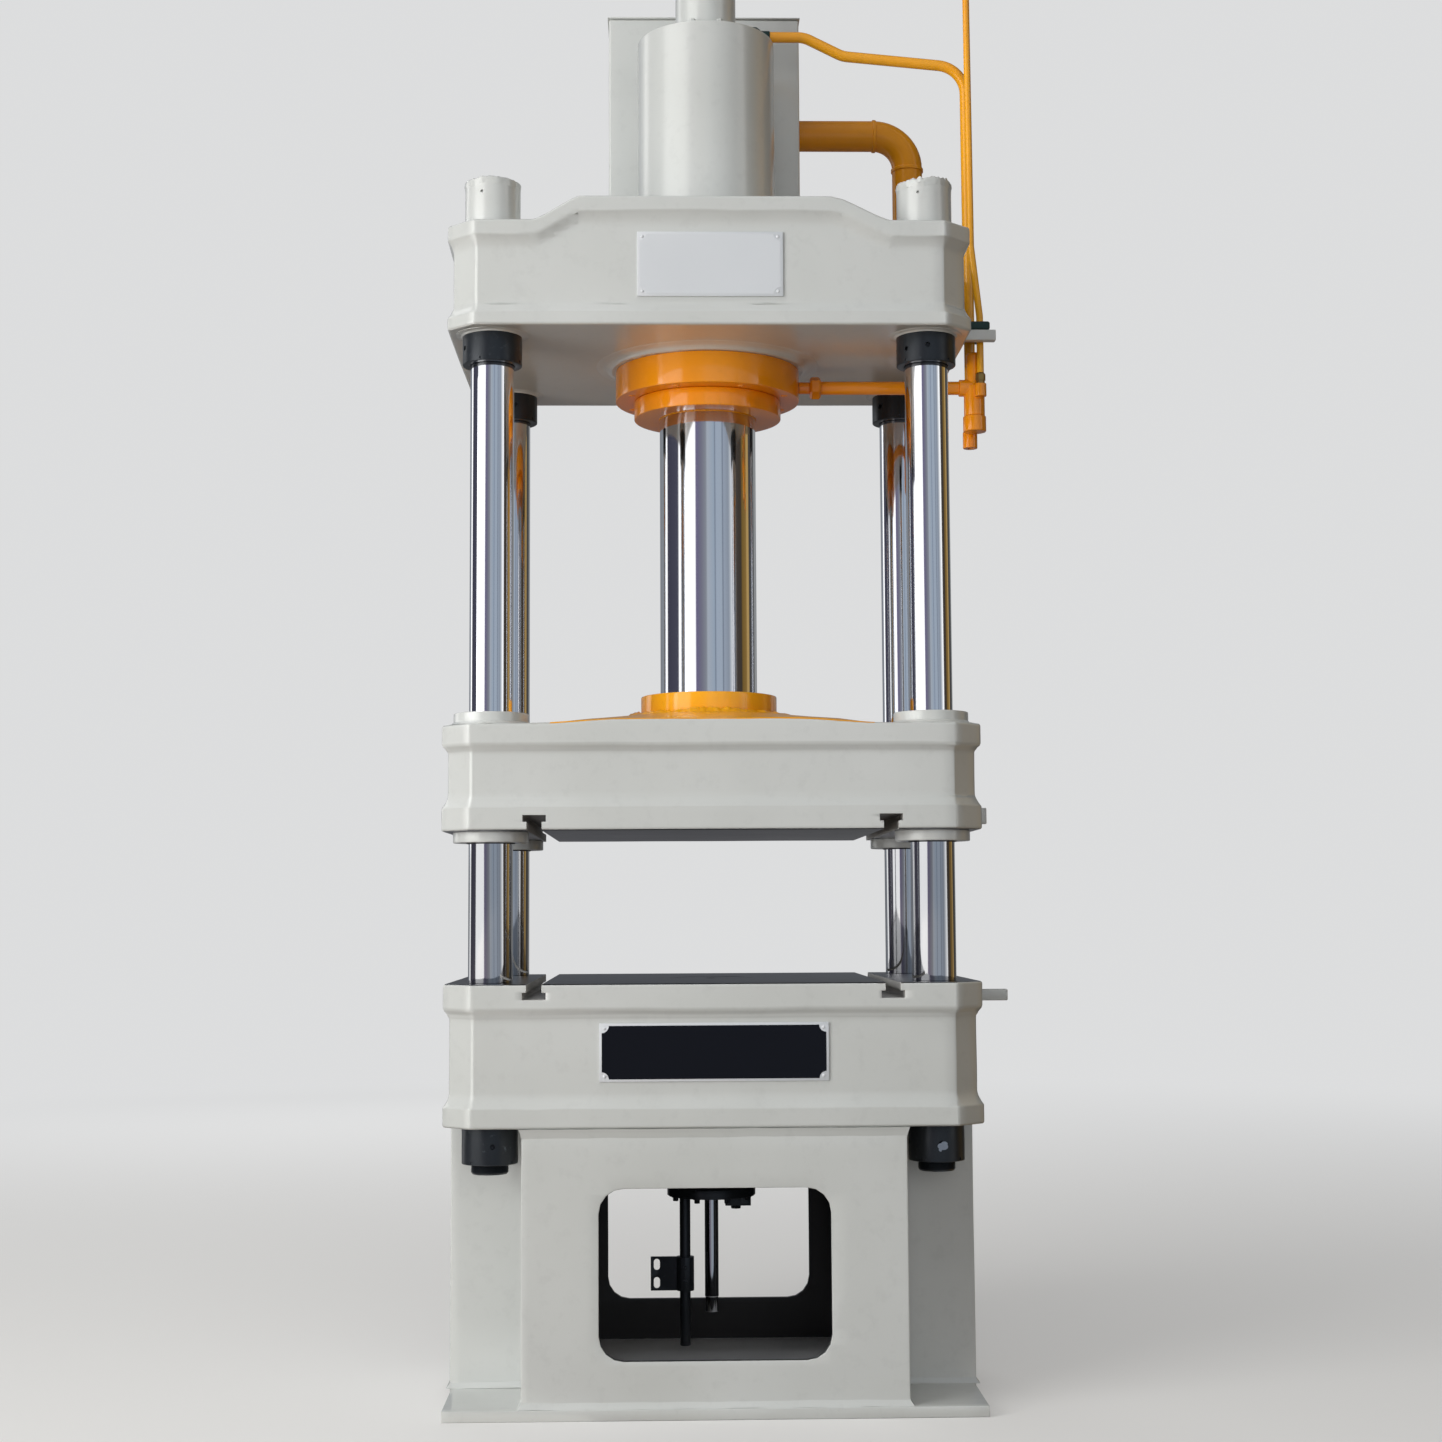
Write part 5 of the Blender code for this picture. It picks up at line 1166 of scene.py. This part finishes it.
def surroundings():
    """Pale backdrop for the camera, soft fill for the paint and banded walls for what is polished."""
    world = bpy.data.worlds.new("surroundings")
    bpy.context.scene.world = world
    world.use_nodes = True
    world.node_tree.nodes.clear()
    tree = Tree(world.node_tree)
    direction = tree.add("ShaderNodeTexCoord").outputs["Generated"]
    x, y, z = tree.xyz(direction)
    low = tree.spread(z, 0.03, 0.10, 0.7, 1.0)
    behind = tree.spread(y, 0.80, 0.95, 1.0, 0.0)
    power = tree.math("MULTIPLY", tree.math("MAXIMUM", low, behind), 1.15)
    banded = tree.add("ShaderNodeBackground", {"Color": walls(tree, direction), "Strength": power}).outputs[0]
    tint = tree.ramp(tree.spread(x, -0.6, 0.7), [(0.0, (0.90, 0.95, 1.0)), (1.0, (1.0, 0.92, 0.78))])
    fill = tree.add("ShaderNodeBackground", {"Color": tint, "Strength": 0.17}).outputs[0]
    pale = tree.add("ShaderNodeBackground", {"Color": PALE, "Strength": 1.0}).outputs[0]
    path = tree.add("ShaderNodeLightPath")
    first = tree.mixed(path.outputs["Is Glossy Ray"], fill, banded)
    tree.add("ShaderNodeOutputWorld", {"Surface": tree.mixed(path.outputs["Is Camera Ray"], first, pale)})


def area_light(name, at, target, size, power, color=(1.0, 1.0, 1.0)):
    data = bpy.data.lights.new(name, "AREA")
    data.shape = "RECTANGLE"
    data.size, data.size_y = size
    data.energy = power
    data.color = color
    light = link(name, data)
    light.location = at
    light.visible_glossy = False
    light.rotation_euler = (Vector(target) - Vector(at)).to_track_quat("-Z", "Y").to_euler()
    return light


def mirror_card():
    """A white card beside the front left column, seen only in what mirrors it."""
    column = Vector((*CORNERS["front_left"], 1.6575))
    width, height = 0.20, 0.745
    at = column + 0.30 * polar(1, -148)
    card = area_light("card_left", at, column, (width, height), 1.5 * math.pi * width * height)
    card.visible_glossy = True
    card.visible_camera = card.visible_diffuse = card.visible_transmission = False


def photo_camera():
    """The photograph's view, as a camera fitted to the castings, columns and round edges."""
    yaw, pitch, roll = 0.025, 0.0855, -0.0055
    forward = Vector((math.sin(yaw) * math.cos(pitch), math.cos(yaw) * math.cos(pitch), math.sin(pitch)))
    right = Vector((math.cos(yaw), -math.sin(yaw), 0))
    up = right.cross(forward)
    across = math.cos(roll) * right + math.sin(roll) * up
    upward = math.cos(roll) * up - math.sin(roll) * right
    data = bpy.data.cameras.new("photo_camera")
    data.sensor_width = 36
    data.lens = 55.47
    data.clip_end = 200
    camera = link("photo_camera", data)
    turn = Matrix((across, upward, -forward)).transposed().to_4x4()
    camera.matrix_world = Matrix.Translation((-0.0867, -4.4289, 0.9109)) @ turn
    bpy.context.scene.camera = camera


stage_floor()
surroundings()
area_light("window_left", (-4.3, -3.5, 1.75), (0, 0, 1.2), (3.2, 4.2), 270, (1.0, 1.0, 0.985))
area_light("soft_front", (0.9, -6.0, 1.6), (0, 0, 1.3), (4.0, 3.0), 58)
area_light("roof_light", (-1.5, -2.6, 6.6), (0, 0, 1.2), (5.0, 4.0), 95, (1.0, 1.0, 0.99))
area_light("yard_door", (-1.5, 6.5, 2.6), (0, 0, 1.3), (4.0, 3.5), 120, (0.96, 0.98, 1.0))
mirror_card()
photo_camera()
bpy.context.scene.view_settings.view_transform = "Standard"
